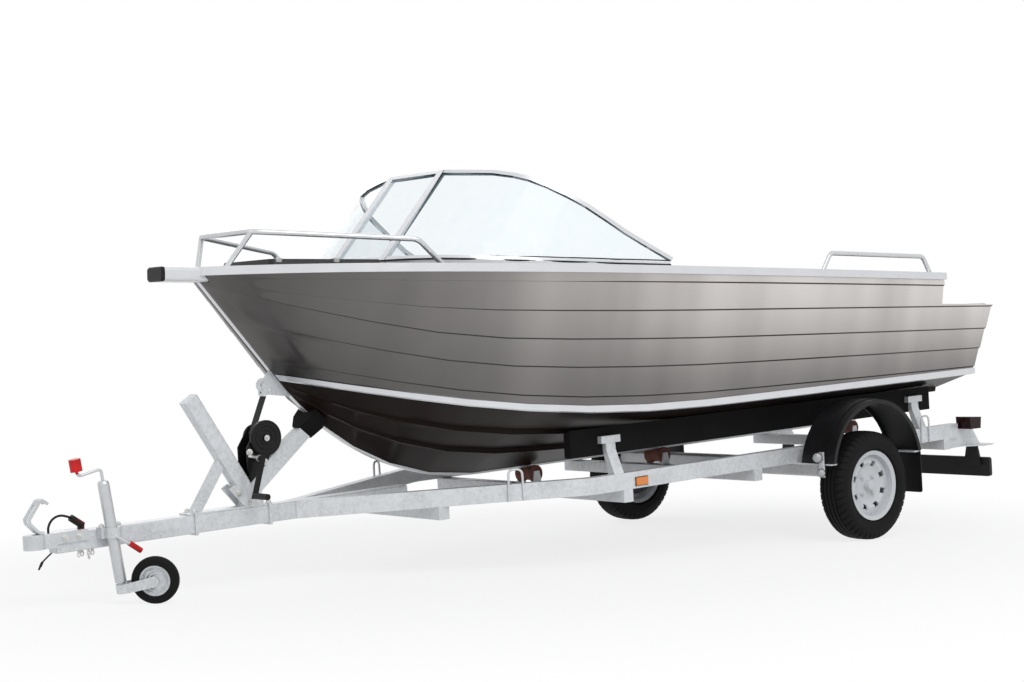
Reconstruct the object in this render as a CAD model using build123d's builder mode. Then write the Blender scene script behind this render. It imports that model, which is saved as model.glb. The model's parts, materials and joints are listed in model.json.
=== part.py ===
"""Pressed-plank aluminium runabout standing on its single-axle trailer.

Everything is drawn level, with X forward from the axle, Y to port and Z up from
the axle's centre line.  The last section parks the whole nose down on its jockey
wheel and moves the origin to the floor below the middle.  Millimetres.
"""
import os
from math import acos, asin, atan2, cos, hypot, radians, sin, sqrt, tan

from build123d import *

os.makedirs("parts", exist_ok=True)

# Parking trim and clearances
NOSE_DOWN = 2.76          # degrees that the trailer dips forward on its jockey wheel
FIT = 0.3                 # gap between pieces that seat on each other
SEAM = 0.5                # gap along a plate seam of the hull
RUNNING = 0.05            # radial clearance of a turning shaft

# Road wheels
TRACK = 1752.0
TYRE_RADIUS = 285.0
TYRE_WIDTH = 165.0
RIM_RADIUS = 182.0
RIM_WIDTH = 138.0
STUB_RADIUS = 20.0
HUB_RADIUS = 46.0

# Trailer frame
RAIL_TOP = 226.0
RAIL_DEPTH = 80.0
RAIL_WIDTH = 50.0
RAIL_INSET = 157.0        # from the tread's middle to the rail's outer face
RAIL_AFT = -1062.0
BEND_X = 1790.0
BEND_RADIUS = 160.0
SEAM_X = 2990.0
DRAWBAR = 80.0
DRAWBAR_AFT = 2360.0
DRAWBAR_FORE = 4160.0
CROSS_SIZE = 60.0
CROSS_X = (2400.0, 1560.0, 640.0, -960.0)
BEAM_X = 150.0
BEAM_SIZE = 88.0
ARM_THICK = 22.0
wheel_y = TRACK / 2
rail_out = wheel_y - RAIL_INSET

# Hull form
KEEL_Z = RAIL_TOP + 4.0
KEEL_HALF = 15.0
KEEL_DEPTH = 32.0
KEEL_REVEAL = 10.0
FOREFOOT_X = 1900.0
FOREFOOT_R = 1443.0
STEM_ANGLE = 50.7
TRANSOM_X = -1050.0
TRANSOM_RAKE = 18.7
SHEER_Z = 1088.0
SHEER_SLOPE = 2.88
BOTTOM_THICK = 20.0
GUNWALE_DEPTH = 38.0
GUNWALE_WIDTH = 62.0
GUNWALE_OVERHANG = 18.0
STEP_X = -755.0
STEP_DROP = 132.0

CHINE_Z = 514.0
CHINE_RISE = 269.0
CHINE_RISE_FROM = 900.0
CHINE_POWER = 2.6
CHINE_FORE = 3040.0
KEEL_SEAM_FORE = 2975.0
SIDE_THICK = 22.0
STEM_THICK = 10.0
LAP_DEPTH = 9.0
LAP_UNDERSIDE = 0.8       # height of a lap's underside for each unit of its depth
STEM_LAP = 0.8
CHINE_HALF = (775.0, 806.0, 815.0, 772.0, 545.0)   # half breadths from stern to bow
STEM_HALF = 28.0          # half breadth of the hull where it meets the stem
STATION_COUNT = 15
STATION_CROWDING = 1.6    # stations close up towards the stem

# Pressed laps.  Columns: share of the side's height at the stern and amidships, what it gains
# at the stem, and the share of the length at which the lap has faded out.
LAPS = (
    (0.056, 0.098, 0.10, 1.02),
    (0.26, 0.315, 0.27, 1.0),
    (0.475, 0.52, 0.39, 0.99),
    (0.72, 0.725, 0.22, 0.84),
    (0.935, 0.935, 0.045, 0.68),
)
LAP_MIDSHIPS = 0.6        # share of the length where the midship heights hold
LAP_SWEEP = 0.74          # share of the length where the laps start to climb to the stem
# Planing strips on the bottom, as shares of its half breadth
STRIPS = (0.36, 0.66)
STRIP_HALF = 22.0
STRIP_DEPTH = 16.0


def keel_height(x):
    """Height of the keel's underside at x, on the straight run or the forefoot's arc."""
    run = max(x - FOREFOOT_X, 0.0)
    return KEEL_Z + FOREFOOT_R - sqrt(FOREFOOT_R**2 - run**2)


stem_foot = (
    FOREFOOT_X + FOREFOOT_R * sin(radians(STEM_ANGLE)),
    KEEL_Z + FOREFOOT_R * (1 - cos(radians(STEM_ANGLE))),
)
sheer_plane = Plane(
    origin=(0, 0, SHEER_Z),
    x_dir=(cos(radians(SHEER_SLOPE)), 0, sin(radians(SHEER_SLOPE))),
    z_dir=(-sin(radians(SHEER_SLOPE)), 0, cos(radians(SHEER_SLOPE))),
)
stem_lean = 1 / tan(radians(STEM_ANGLE))
sheer_rise = tan(radians(SHEER_SLOPE))
bow_x = (stem_foot[0] + (SHEER_Z - stem_foot[1]) * stem_lean) / (1 - sheer_rise * stem_lean)
bow_run = bow_x / cos(radians(SHEER_SLOPE))
rake = tan(radians(TRANSOM_RAKE))
stern_x = (TRANSOM_X - (SHEER_Z - KEEL_Z) * rake) / (1 + sheer_rise * rake)
stern_run = stern_x / cos(radians(SHEER_SLOPE))


def sheer_outline(inset):
    """Draw the port sheer in plan, moved inboard by inset, from stern to stem."""
    aft = ThreePointArc((stern_run, 868 - inset), (-330, 922 - inset), (700, 940 - inset))
    mid = TangentArc((700, 940 - inset), (1700, 905 - inset), tangent=aft % 1)
    fore = TangentArc((1700, 905 - inset), (2700 - inset * 0.36, 690 - inset * 0.94), tangent=mid % 1)
    return aft, mid, fore


with BuildLine() as sheer_plan:
    sheer_runs = sheer_outline(0)
    TangentArc(sheer_runs[2] @ 1, (bow_run, STEM_HALF), tangent=sheer_runs[2] % 1)
chine_aft = TRANSOM_X - (CHINE_Z - KEEL_Z) * rake
with BuildLine() as chine_plan:
    chine_run = ThreePointArc((chine_aft, CHINE_HALF[0]), (-200, CHINE_HALF[1]), (700, CHINE_HALF[2]))
    chine_mid = TangentArc(chine_run @ 1, (1700, CHINE_HALF[3]), tangent=chine_run % 1)
    chine_bow = TangentArc(chine_mid @ 1, (2500, CHINE_HALF[4]), tangent=chine_mid % 1)
    TangentArc(chine_bow @ 1, (CHINE_FORE, STEM_HALF), tangent=chine_bow % 1)
sheer_curve = sheer_plan.wire()
chine_curve = chine_plan.wire()


def hull_station(number):
    """Sheer and chine points, keel x, plate thickness and lap depth at a station."""
    share = 1 - (1 - number / (STATION_COUNT - 1)) ** STATION_CROWDING
    flat = sheer_curve @ share
    sheer = sheer_plane.from_local_coords(Vector(flat.X, flat.Y, 0))
    flat = chine_curve @ share
    climb = max(flat.X - CHINE_RISE_FROM, 0) / (CHINE_FORE - CHINE_RISE_FROM)
    chine = Vector(flat.X, flat.Y, CHINE_Z + CHINE_RISE * climb**CHINE_POWER)
    keel_x = TRANSOM_X + (KEEL_SEAM_FORE - TRANSOM_X) * share
    fade = 1 - share**8
    thick = STEM_THICK + (SIDE_THICK - STEM_THICK) * fade
    lap = STEM_LAP + (LAP_DEPTH - STEM_LAP) * fade
    return share, sheer, chine, keel_x, thick, lap


stations = [hull_station(number) for number in range(STATION_COUNT)]


def lap_height(row, share):
    """Share of the side's height at which a lap lies, a share of the length from the stern."""
    aft, mid, gain, _ = row
    climb = max(share - LAP_SWEEP, 0) / (1 - LAP_SWEEP)
    return aft + (mid - aft) * min(share / LAP_MIDSHIPS, 1) + gain * climb**2


def lap_depth(row, share):
    """Depth of a lap, which fades out towards the stem."""
    return STEM_LAP + (LAP_DEPTH - STEM_LAP) * max(1 - (share / row[3]) ** 8, 0)


def station_plane(low, high):
    """Plane across the hull whose upright runs from low to high, each an (x, z) pair."""
    length = hypot(high[0] - low[0], high[1] - low[1])
    lean = ((high[0] - low[0]) / length, (high[1] - low[1]) / length)
    plane = Plane(origin=(low[0], 0, low[1]), x_dir=(0, 1, 0), z_dir=(lean[1], 0, -lean[0]))
    return plane, length


# Hull sides: lapped planks outside, a plain face inside
with BuildPart() as hull_side_port:
    for share, top, chine, keel_x, thick, lap in stations:
        plane, height = station_plane((chine.X, chine.Z), (top.X, top.Z))
        outer = [(chine.Y + lap, 0)]
        for row in LAPS:
            level = lap_height(row, share)
            step = lap_depth(row, share)
            breadth = chine.Y + (top.Y - chine.Y) * level
            outer += [(breadth, level * height), (breadth + step, level * height + step * LAP_UNDERSIDE)]
        with BuildSketch(plane):
            with BuildLine():
                Polyline(*outer, (top.Y, height), (top.Y - thick, height), (chine.Y - thick, 0), close=True)
            make_face()
    loft(ruled=True)
    # the upper side stops at a step, with a low stern deck behind it
    with BuildSketch(Plane.XZ.offset(-1200)):
        with BuildLine():
            step_top = SHEER_Z + STEP_X * sheer_rise
            Polyline(
                (STEP_X, step_top - STEP_DROP), (STEP_X, step_top + 200), (stern_x - 200, step_top + 200),
                (stern_x - 200, step_top - STEP_DROP - (STEP_X - stern_x + 200) * sheer_rise), close=True,
            )
        make_face()
    extrude(amount=1200, mode=Mode.SUBTRACT)
with BuildPart() as hull_side_starboard:
    mirror(hull_side_port.part, about=Plane.XZ)

# Hull bottom: a vee with planing strips
with BuildPart() as hull_bottom_port:
    for share, top, chine, keel_x, thick, lap in stations:
        plane, length = station_plane((keel_x, keel_height(keel_x)), (chine.X, chine.Z))
        low = (KEEL_HALF + SEAM, KEEL_REVEAL)
        high = (chine.Y + lap, length - SEAM)
        outer = [low]
        for strip in STRIPS:
            half = STRIP_HALF * lap / LAP_DEPTH
            middle = (low[0] + (high[0] - low[0]) * strip, low[1] + (high[1] - low[1]) * strip)
            slope = (high[1] - low[1]) / (high[0] - low[0])
            reach = min(half, (high[0] - low[0]) * 0.1)
            outer += [
                (middle[0] - reach, middle[1] - reach * slope),
                (middle[0] + reach, middle[1] - STRIP_DEPTH * lap / LAP_DEPTH),
                (middle[0] + reach, middle[1] + reach * slope),
            ]
        with BuildSketch(plane):
            with BuildLine():
                Polyline(
                    *outer, high, (chine.Y - thick, length - SEAM), (low[0], low[1] + BOTTOM_THICK),
                    close=True,
                )
            make_face()
    loft(ruled=True)
with BuildPart() as hull_bottom_starboard:
    mirror(hull_bottom_port.part, about=Plane.XZ)

# Keel and stem: one bar from the transom's foot round the forefoot to the bow
keel_centre = (FOREFOOT_X, KEEL_Z + FOREFOOT_R)
stem_angle = radians(STEM_ANGLE)
stem_head_z = SHEER_Z + bow_x * sheer_rise - SEAM
keel_aft = TRANSOM_X + KEEL_HALF


def stem_at(z, inset):
    """Point of the straight stem at height z, moved inboard by inset."""
    return (stem_foot[0] + (z - stem_foot[1]) * stem_lean - inset / sin(stem_angle), z)


def forefoot_at(angle, radius):
    """Point of the forefoot's arc after turning by angle."""
    return (keel_centre[0] + radius * sin(angle), keel_centre[1] - radius * cos(angle))


inner_radius = FOREFOOT_R - KEEL_DEPTH
with BuildPart() as keel_bar:
    with BuildSketch(Plane.XZ.offset(-KEEL_HALF)):
        with BuildLine():
            Line((keel_aft, KEEL_Z), (FOREFOOT_X, KEEL_Z))
            ThreePointArc(
                (FOREFOOT_X, KEEL_Z), forefoot_at(stem_angle / 2, FOREFOOT_R),
                forefoot_at(stem_angle, FOREFOOT_R),
            )
            Polyline(
                forefoot_at(stem_angle, FOREFOOT_R), stem_at(stem_head_z, 0),
                stem_at(stem_head_z, KEEL_DEPTH),
                forefoot_at(stem_angle, inner_radius),
            )
            ThreePointArc(
                forefoot_at(stem_angle, inner_radius), forefoot_at(stem_angle / 2, inner_radius),
                (FOREFOOT_X, KEEL_Z + KEEL_DEPTH),
            )
            Polyline((FOREFOOT_X, KEEL_Z + KEEL_DEPTH), (keel_aft, KEEL_Z + KEEL_DEPTH), (keel_aft, KEEL_Z))
        make_face()
    extrude(amount=2 * KEEL_HALF)

# Bright chine strips outside the seam of side and bottom
CHINE_STRIP = (16.0, 12.0, 26.0)   # breadth, drop below the seam, rise above it
with BuildPart() as chine_strip_port:
    for share, top, chine, keel_x, thick, lap in stations:
        plane, height = station_plane((chine.X, chine.Z), (top.X, top.Z))
        root = chine.Y + lap + FIT
        breadth, drop, rise = CHINE_STRIP
        first_lap = lap_height(LAPS[0], share)
        flare = ((top.Y - chine.Y) * first_lap - lap) / (first_lap * height)
        lean_out = max(flare * rise, 0)
        with BuildSketch(plane):
            with BuildLine():
                Polyline(
                    (root, -drop), (root + breadth, -drop / 2), (root + breadth * 0.6 + lean_out, rise),
                    (root + lean_out, rise), close=True,
                )
            make_face()
    loft(ruled=True)
with BuildPart() as chine_strips:
    add(chine_strip_port.part)
    mirror(chine_strip_port.part, about=Plane.XZ)

# Gunwales: capping extrusions on the sheer, and the bow plank between their noses
SPRIT_HALF = 66.0
SPRIT_DEPTH = 64.0
SPRIT_ROUND = 16.0
SPRIT_AFT = 3235.0
SPRIT_FORE = 3622.0
SPRIT_CAP = 16.0


def capped_outline(inset):
    """Closed plan of the hull inside the sheer, port half, inset from it."""
    aft, mid, fore = sheer_outline(inset)
    bow = TangentArc(fore @ 1, (bow_run - inset * 1.1, SPRIT_HALF - 30), tangent=fore % 1)
    Polyline(bow @ 1, (bow_run - inset * 1.1, 0), (stern_run, 0), aft @ 0)


with BuildPart() as gunwale_port:
    with BuildSketch(sheer_plane.offset(FIT)):
        with BuildLine():
            capped_outline(-GUNWALE_OVERHANG)
        make_face()
        with BuildLine():
            capped_outline(GUNWALE_WIDTH - GUNWALE_OVERHANG)
        make_face(mode=Mode.SUBTRACT)
        with Locations((bow_run, 0)):
            Rectangle(2 * (bow_run - SPRIT_AFT), 2 * (SPRIT_HALF + FIT), mode=Mode.SUBTRACT)
        step_run = STEP_X / cos(radians(SHEER_SLOPE))
        with Locations((stern_run, 0)):
            Rectangle(2 * (step_run - stern_run) + 2, 4000, mode=Mode.SUBTRACT)
    extrude(amount=GUNWALE_DEPTH)
with BuildPart() as gunwales:
    add(gunwale_port.part)
    mirror(gunwale_port.part, about=Plane.XZ)

sprit_low = GUNWALE_DEPTH - SPRIT_DEPTH
sprit_foot = sheer_plane.from_local_coords(Vector(SPRIT_AFT + FIT, 0, GUNWALE_DEPTH - SPRIT_DEPTH / 2))
sprit_plane = Plane(sprit_foot, x_dir=(0, 1, 0), z_dir=sheer_plane.x_dir)
sprit_length = SPRIT_FORE - SPRIT_CAP - SPRIT_AFT - 2 * FIT
with BuildPart() as bowsprit:
    with BuildSketch(sprit_plane):
        RectangleRounded(2 * SPRIT_HALF, SPRIT_DEPTH, SPRIT_ROUND)
    extrude(amount=sprit_length)
with BuildPart() as sprit_cap:
    with BuildSketch(sprit_plane.offset(sprit_length + FIT)):
        RectangleRounded(2 * SPRIT_HALF, SPRIT_DEPTH, SPRIT_ROUND)
    extrude(amount=SPRIT_CAP)
    chamfer(faces().sort_by(Axis.X)[-1].edges(), SPRIT_CAP / 3)
sprit_notch = sheer_plane.offset(sprit_low - SEAM)
for panel in (hull_side_port, hull_side_starboard, keel_bar):
    with panel:
        with BuildSketch(sprit_notch):
            with Locations(((SPRIT_AFT + SPRIT_FORE) / 2, 0)):
                Rectangle(SPRIT_FORE - SPRIT_AFT, 2 * (SPRIT_HALF + FIT))
        extrude(amount=200, mode=Mode.SUBTRACT)

# Foredeck between the gunwales, with the wrap-round cockpit mouth and the bow locker's mouth
DECK_THICK = 26.0
DECK_AFT = 1300.0
MOUTH_FORE = 2470.0
MOUTH_HALF = 800.0
LOCKER_X = (2690.0, 3130.0)
LOCKER_HALF = (330.0, 170.0)   # half breadths at the aft and fore ends
deck_plane = sheer_plane.offset(GUNWALE_DEPTH - DECK_THICK)
with BuildPart() as foredeck_port:
    with BuildSketch(deck_plane):
        with BuildLine():
            capped_outline(GUNWALE_WIDTH - GUNWALE_OVERHANG + SEAM)
        make_face()
        with Locations((stern_run, 0)):
            Rectangle(2 * (DECK_AFT - stern_run), 4000, mode=Mode.SUBTRACT)
        with BuildLine():
            Polyline((DECK_AFT - 10, 0), (DECK_AFT - 10, MOUTH_HALF), (DECK_AFT, MOUTH_HALF))
            mouth = TangentArc((DECK_AFT, MOUTH_HALF), (MOUTH_FORE - 320, 420), tangent=(1, -0.02))
            TangentArc(mouth @ 1, (MOUTH_FORE, 0), tangent=mouth % 1)
            Line((MOUTH_FORE, 0), (DECK_AFT - 10, 0))
        make_face(mode=Mode.SUBTRACT)
        with BuildLine():
            Polyline(
                (LOCKER_X[0], 0), (LOCKER_X[0], LOCKER_HALF[0]), (LOCKER_X[1], LOCKER_HALF[1]),
                (LOCKER_X[1], 0),
                close=True,
            )
        make_face(mode=Mode.SUBTRACT)
        with Locations((bow_run, 0)):
            Rectangle(2 * (bow_run - SPRIT_AFT), 2 * (SPRIT_HALF + FIT), mode=Mode.SUBTRACT)
    extrude(amount=DECK_THICK)
with BuildPart() as foredeck:
    add(foredeck_port.part)
    mirror(foredeck_port.part, about=Plane.XZ)

# Bow locker's lid, raised above the foredeck and hinged along its aft edge
LID_MARGIN = 40.0
LID_DEPTH = 34.0
LID_LIFT = FIT
with BuildPart() as bow_hatch:
    with BuildSketch(sheer_plane.offset(GUNWALE_DEPTH + LID_LIFT)):
        with BuildLine():
            lid_x = (LOCKER_X[0] - LID_MARGIN, LOCKER_X[1] + LID_MARGIN)
            lid_half = (LOCKER_HALF[0] + LID_MARGIN, LOCKER_HALF[1] + LID_MARGIN)
            Polyline(
                (lid_x[0], -lid_half[0]), (lid_x[1], -lid_half[1]), (lid_x[1], lid_half[1]),
                (lid_x[0], lid_half[0]),
                close=True,
            )
        make_face()
        fillet(vertices(), 40)
    extrude(amount=LID_DEPTH, taper=20)
HINGE_PIN = 5.0
HINGE_LENGTH = 90.0
hinge_x = lid_x[0] - HINGE_PIN - 6
hinge_plane = sheer_plane.offset(GUNWALE_DEPTH)
HINGE_Y = (-220.0, 220.0)
with BuildPart() as hatch_hinges:
    for y in HINGE_Y:
        with BuildSketch(Plane(
            hinge_plane.from_local_coords((hinge_x, y, FIT)), x_dir=sheer_plane.x_dir, z_dir=(0, -1, 0),
        )):
            with BuildLine():
                Polyline(
                    (-16, 0), (HINGE_PIN, 0), (HINGE_PIN, 2 * HINGE_PIN), (-HINGE_PIN, 2 * HINGE_PIN),
                    (-16, 4), close=True,
                )
            make_face()
        extrude(amount=HINGE_LENGTH / 2, both=True)

with foredeck:
    add(hatch_hinges.part)

# Cockpit sole on a keelson that stands on the keel bar
SOLE_TOP = 470.0
SOLE_THICK = 16.0
SOLE_AFT = -960.0
SOLE_FORE = 2050.0
SOLE_GAP = 4.0
KEELSON_HALF = 15.0
bottom_slope = (CHINE_Z - KEEL_Z - KEEL_REVEAL) / (CHINE_HALF[0] - KEEL_HALF)
sole_half = (SOLE_TOP - SOLE_THICK - KEEL_Z - KEEL_REVEAL - BOTTOM_THICK) / bottom_slope - SOLE_GAP * 3
with BuildPart() as cockpit_sole:
    with BuildSketch(Plane.XY.offset(SOLE_TOP - SOLE_THICK)):
        with BuildLine():
            Polyline(
                (SOLE_AFT, -sole_half), (1300, -sole_half), (SOLE_FORE, -sole_half * 0.62),
                (SOLE_FORE, sole_half * 0.62),
                (1300, sole_half), (SOLE_AFT, sole_half), close=True,
            )
        make_face()
    extrude(amount=SOLE_THICK)
with cockpit_sole:
    with BuildSketch(Plane.XZ.offset(-KEELSON_HALF)):
        with BuildLine():
            Polyline(
                (SOLE_AFT, KEEL_Z + KEEL_DEPTH), (FOREFOOT_X, KEEL_Z + KEEL_DEPTH),
                (FOREFOOT_X, SOLE_TOP - SOLE_THICK),
                (SOLE_AFT, SOLE_TOP - SOLE_THICK), close=True,
            )
        make_face()
    extrude(amount=2 * KEELSON_HALF)

# Transom, stern bulkhead and the low stern deck with its motor well
TRANSOM_THICK = 45.0
WELL_HALF = 320.0
WELL_SILL = KEEL_Z + 520.0
step_low = SHEER_Z + STEP_X * sheer_rise - STEP_DROP
deck_fall = sheer_rise
transom_plane, _ = station_plane((TRANSOM_X, KEEL_Z), (stern_x, SHEER_Z + stern_x * sheer_rise))


def transom_rise(z):
    """Distance up the raked transom to height z."""
    return (z - KEEL_Z) / cos(radians(TRANSOM_RAKE))


_, sheer_0, chine_0, _, thick_0, _ = stations[0]
side_flare = (sheer_0.Y - chine_0.Y) / (sheer_0.Z - chine_0.Z)
stern_top = step_low - (STEP_X - stern_x) * deck_fall - 2
inner_chine = chine_0.Y - thick_0 - FIT
inner_top = inner_chine + (stern_top - CHINE_Z) * side_flare
with BuildPart() as transom:
    with BuildSketch(transom_plane):
        with BuildLine():
            half = [
                (0, transom_rise(KEEL_Z + KEEL_DEPTH + SEAM)),
                (KEEL_HALF + 2, transom_rise(KEEL_Z + KEEL_DEPTH + SEAM)),
                (inner_chine, transom_rise(CHINE_Z)), (inner_top, transom_rise(stern_top)),
                (WELL_HALF + 60, transom_rise(stern_top)), (WELL_HALF, transom_rise(WELL_SILL)),
            ]
            Polyline(*half, *[(-y, v) for y, v in reversed(half)], close=True)
        make_face()
    extrude(amount=TRANSOM_THICK)
BULKHEAD_THICK = 30.0
with BuildPart() as stern_bulkhead:
    with BuildSketch(Plane.YZ.offset(STEP_X + 4)):
        with BuildLine():
            bulk_low = SOLE_TOP + FIT
            bulk_top = SHEER_Z + STEP_X * sheer_rise + GUNWALE_DEPTH
            bulk_half = inner_chine - 2 + (bulk_top - CHINE_Z) * side_flare - 26
            Polyline(
                (-sole_half, bulk_low), (sole_half, bulk_low), (inner_chine - 8, CHINE_Z + 60),
                (bulk_half, bulk_top),
                (-bulk_half, bulk_top), (-inner_chine + 8, CHINE_Z + 60), close=True,
            )
        make_face()
    extrude(amount=BULKHEAD_THICK)
STERN_DECK_THICK = 28.0
with BuildPart() as stern_deck:
    deck_level = Plane(
        origin=(STEP_X, 0, step_low - STERN_DECK_THICK),
        x_dir=(cos(radians(SHEER_SLOPE)), 0, sin(radians(SHEER_SLOPE))),
        z_dir=(-sin(radians(SHEER_SLOPE)), 0, cos(radians(SHEER_SLOPE))),
    )
    deck_length = STEP_X - stern_x - 90
    with BuildSketch(deck_level):
        with BuildLine():
            Polyline(
                (3.7, -inner_top - 4), (3.7, inner_top + 4), (-deck_length, inner_top - 3),
                (-deck_length, WELL_HALF + 8),
                (-90, WELL_HALF + 8), (-90, -WELL_HALF - 8), (-deck_length, -WELL_HALF - 8),
                (-deck_length, -inner_top + 3), close=True,
            )
        make_face()
    extrude(amount=STERN_DECK_THICK)
    split(bisect_by=transom_plane.offset(TRANSOM_THICK + FIT), keep=Keep.TOP)

# Windscreen: two wrap-round panes and a middle pane between raked pillars.  Columns:
# foot x, y, z and head x, y, z of the port pane's sections, from pillar to aft tip.
SCREEN = (
    (2537.0, 221.0, 1296.0, 2167.0, 221.0, 1696.0),
    (2512.0, 350.0, 1294.0, 2139.0, 336.0, 1685.0),
    (2450.0, 500.0, 1288.0, 2092.0, 490.0, 1671.0),
    (2375.0, 600.0, 1279.0, 2060.0, 594.0, 1650.0),
    (2292.0, 672.0, 1270.0, 2022.0, 658.0, 1628.0),
    (2200.0, 727.0, 1261.0, 1967.0, 716.0, 1592.0),
    (2090.0, 774.0, 1252.0, 1896.0, 767.0, 1545.0),
    (1965.0, 812.0, 1243.0, 1811.0, 802.0, 1493.0),
    (1830.0, 838.0, 1233.0, 1718.0, 828.0, 1431.0),
    (1690.0, 855.0, 1224.0, 1622.0, 848.0, 1368.0),
    (1530.0, 869.0, 1214.0, 1496.0, 866.0, 1299.0),
    (1368.0, 880.0, 1206.0, 1350.0, 878.0, 1226.0),
)
GLASS_THICK = 6.0
SCREEN_BAR = 20.0
PILLAR = 42.0
PILLAR_GAP = 4.0          # between the middle frame and the side panes


def pane_plane(row):
    """Plane of a pane's section, x out through the glass and y up it from the foot."""
    foot = Vector(*row[:3])
    up = (Vector(*row[3:]) - foot).normalized()
    across = Vector(row[0] - 1150.0, row[1] * 1.6, 0)
    out = (across - up * across.dot(up)).normalized()
    return Plane(origin=foot, x_dir=out, z_dir=out.cross(up))


def pane_length(row):
    """Length of a pane's section from foot to head, never less than its two bars."""
    return max((Vector(*row[3:]) - Vector(*row[:3])).length, SCREEN_BAR + 2)


with BuildPart() as glass_port:
    for row in SCREEN:
        with BuildSketch(pane_plane(row)):
            with Locations((0, pane_length(row) / 2)):
                Rectangle(GLASS_THICK, pane_length(row) - SCREEN_BAR)
    loft(ruled=True)
with BuildPart() as screen_top_port:
    for row in SCREEN:
        with BuildSketch(pane_plane(row)):
            with Locations((0, pane_length(row) + FIT)):
                Rectangle(SCREEN_BAR, SCREEN_BAR)
    loft(ruled=True)
with BuildPart() as screen_foot_port:
    for row in SCREEN:
        with BuildSketch(pane_plane(row)):
            with Locations((0, -FIT)):
                Rectangle(SCREEN_BAR, SCREEN_BAR)
    loft(ruled=True)
row = SCREEN[0]
middle = Plane(
    origin=(row[0], 0, row[2]), x_dir=(0, 1, 0),
    z_dir=Vector(0, 1, 0).cross(Vector(row[3] - row[0], 0, row[5] - row[2])),
)
middle_half = row[1] - PILLAR_GAP
with BuildPart() as centre_glass:
    with BuildSketch(middle):
        with Locations((0, pane_length(row) / 2)):
            Rectangle(2 * (middle_half - PILLAR - FIT), pane_length(row) - SCREEN_BAR - 2 * FIT)
    extrude(amount=GLASS_THICK / 2, both=True)
with BuildPart() as centre_frame:
    with BuildSketch(middle):
        with Locations((0, pane_length(row) / 2)):
            Rectangle(2 * middle_half, pane_length(row) + SCREEN_BAR)
            Rectangle(2 * (middle_half - PILLAR), pane_length(row) - SCREEN_BAR, mode=Mode.SUBTRACT)
    extrude(amount=SCREEN_BAR / 2, both=True)
PLINTH = SCREEN_BAR + 6.0
PLINTH_SINK = 4.0         # the frame's foot overlaps the plinth by this much


def deck_at(x):
    """Height just above the foredeck at x, where the plinth's gasket lies."""
    return SHEER_Z + x * sheer_rise + GUNWALE_DEPTH + 1


with BuildPart() as screen_plinth:
    for row in SCREEN:
        out = pane_plane(row).x_dir
        level = Vector(out.X, out.Y, 0).normalized()
        top = row[2] - PLINTH_SINK
        with BuildSketch(Plane(
            origin=(row[0], row[1], 0), x_dir=level, z_dir=level.cross(Vector(0, 0, 1)),
        )):
            with Locations((0, (deck_at(row[0]) + top) / 2)):
                Rectangle(PLINTH, top - deck_at(row[0]))
    loft(ruled=True)
    mirror(screen_plinth.part, about=Plane.XZ)
    row = SCREEN[0]
    top = row[2] - PLINTH_SINK
    with BuildSketch(Plane.XZ.offset(-row[1])):
        with Locations((row[0], (deck_at(row[0]) + top) / 2)):
            Rectangle(PLINTH, top - deck_at(row[0]))
    extrude(amount=2 * row[1])
with BuildPart() as windscreen_glass:
    add(glass_port.part)
    mirror(glass_port.part, about=Plane.XZ)
    add(centre_glass.part)
with BuildPart() as windscreen_frame:
    for bar in (screen_top_port, screen_foot_port):
        add(bar.part)
        mirror(bar.part, about=Plane.XZ)
    add(centre_frame.part)
    add(screen_plinth.part)

# Pulpit rail round the foredeck and grab rails on the after gunwales
TUBE = 12.5
deck_top = GUNWALE_DEPTH


def on_deck(x, y, lift):
    """Point above the gunwale's top at a place in plan."""
    return sheer_plane.from_local_coords(Vector(x, y, deck_top + lift))


PULPIT_TOP = 150.0
PULPIT_BEND = 70.0
FOOT_DIP = 20.0           # the tubes are drawn this far below the deck and cut off on it
rail_cut = sheer_plane.offset(deck_top + FIT)
pulpit_path = [
    on_deck(2490, 602, -FOOT_DIP), on_deck(2640, 585, PULPIT_TOP * 0.75), on_deck(3270, 215, PULPIT_TOP),
    on_deck(3270, -215, PULPIT_TOP), on_deck(2640, -585, PULPIT_TOP * 0.75), on_deck(2490, -602, -FOOT_DIP),
]
LEG_FOOT = (3345.0, 112.0)
LEG_HEAD = (3261.0, 210.0)   # on the front bend of the rail
with BuildPart() as pulpit:
    with BuildLine():
        FilletPolyline(*pulpit_path, radius=PULPIT_BEND)
    with BuildSketch(Plane(pulpit_path[0], z_dir=pulpit_path[1] - pulpit_path[0])):
        Circle(TUBE)
    sweep()
    for hand in (1, -1):
        foot = on_deck(LEG_FOOT[0], hand * LEG_FOOT[1], -FOOT_DIP)
        head = on_deck(LEG_HEAD[0], hand * LEG_HEAD[1], PULPIT_TOP)
        with BuildSketch(Plane(foot, z_dir=head - foot)):
            Circle(TUBE - 1)
        extrude(amount=(head - foot).length)
    split(bisect_by=rail_cut, keep=Keep.TOP)
GRAB_X = (280.0, 200.0, -600.0, -670.0)
GRAB_RISE = 88.0
GRAB_Y = 896.0
grab_path = [
    on_deck(GRAB_X[0], GRAB_Y, -FOOT_DIP), on_deck(GRAB_X[1], GRAB_Y - 4, GRAB_RISE),
    on_deck(GRAB_X[2], GRAB_Y - 20, GRAB_RISE), on_deck(GRAB_X[3], GRAB_Y - 16, -FOOT_DIP),
]
with BuildPart() as grab_rail:
    with BuildLine():
        FilletPolyline(*grab_path, radius=45)
    with BuildSketch(Plane(grab_path[0], z_dir=grab_path[1] - grab_path[0])):
        Circle(TUBE)
    sweep()
    split(bisect_by=rail_cut, keep=Keep.TOP)
with BuildPart() as grab_rails:
    add(grab_rail.part)
    mirror(grab_rail.part, about=Plane.XZ)

# Dash below the windscreen, helm wheel and a pair of pedestal seats
DASH_X = (2085.0, 2300.0)
DASH_HALF = 520.0
DASH_LOW = 900.0


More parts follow.
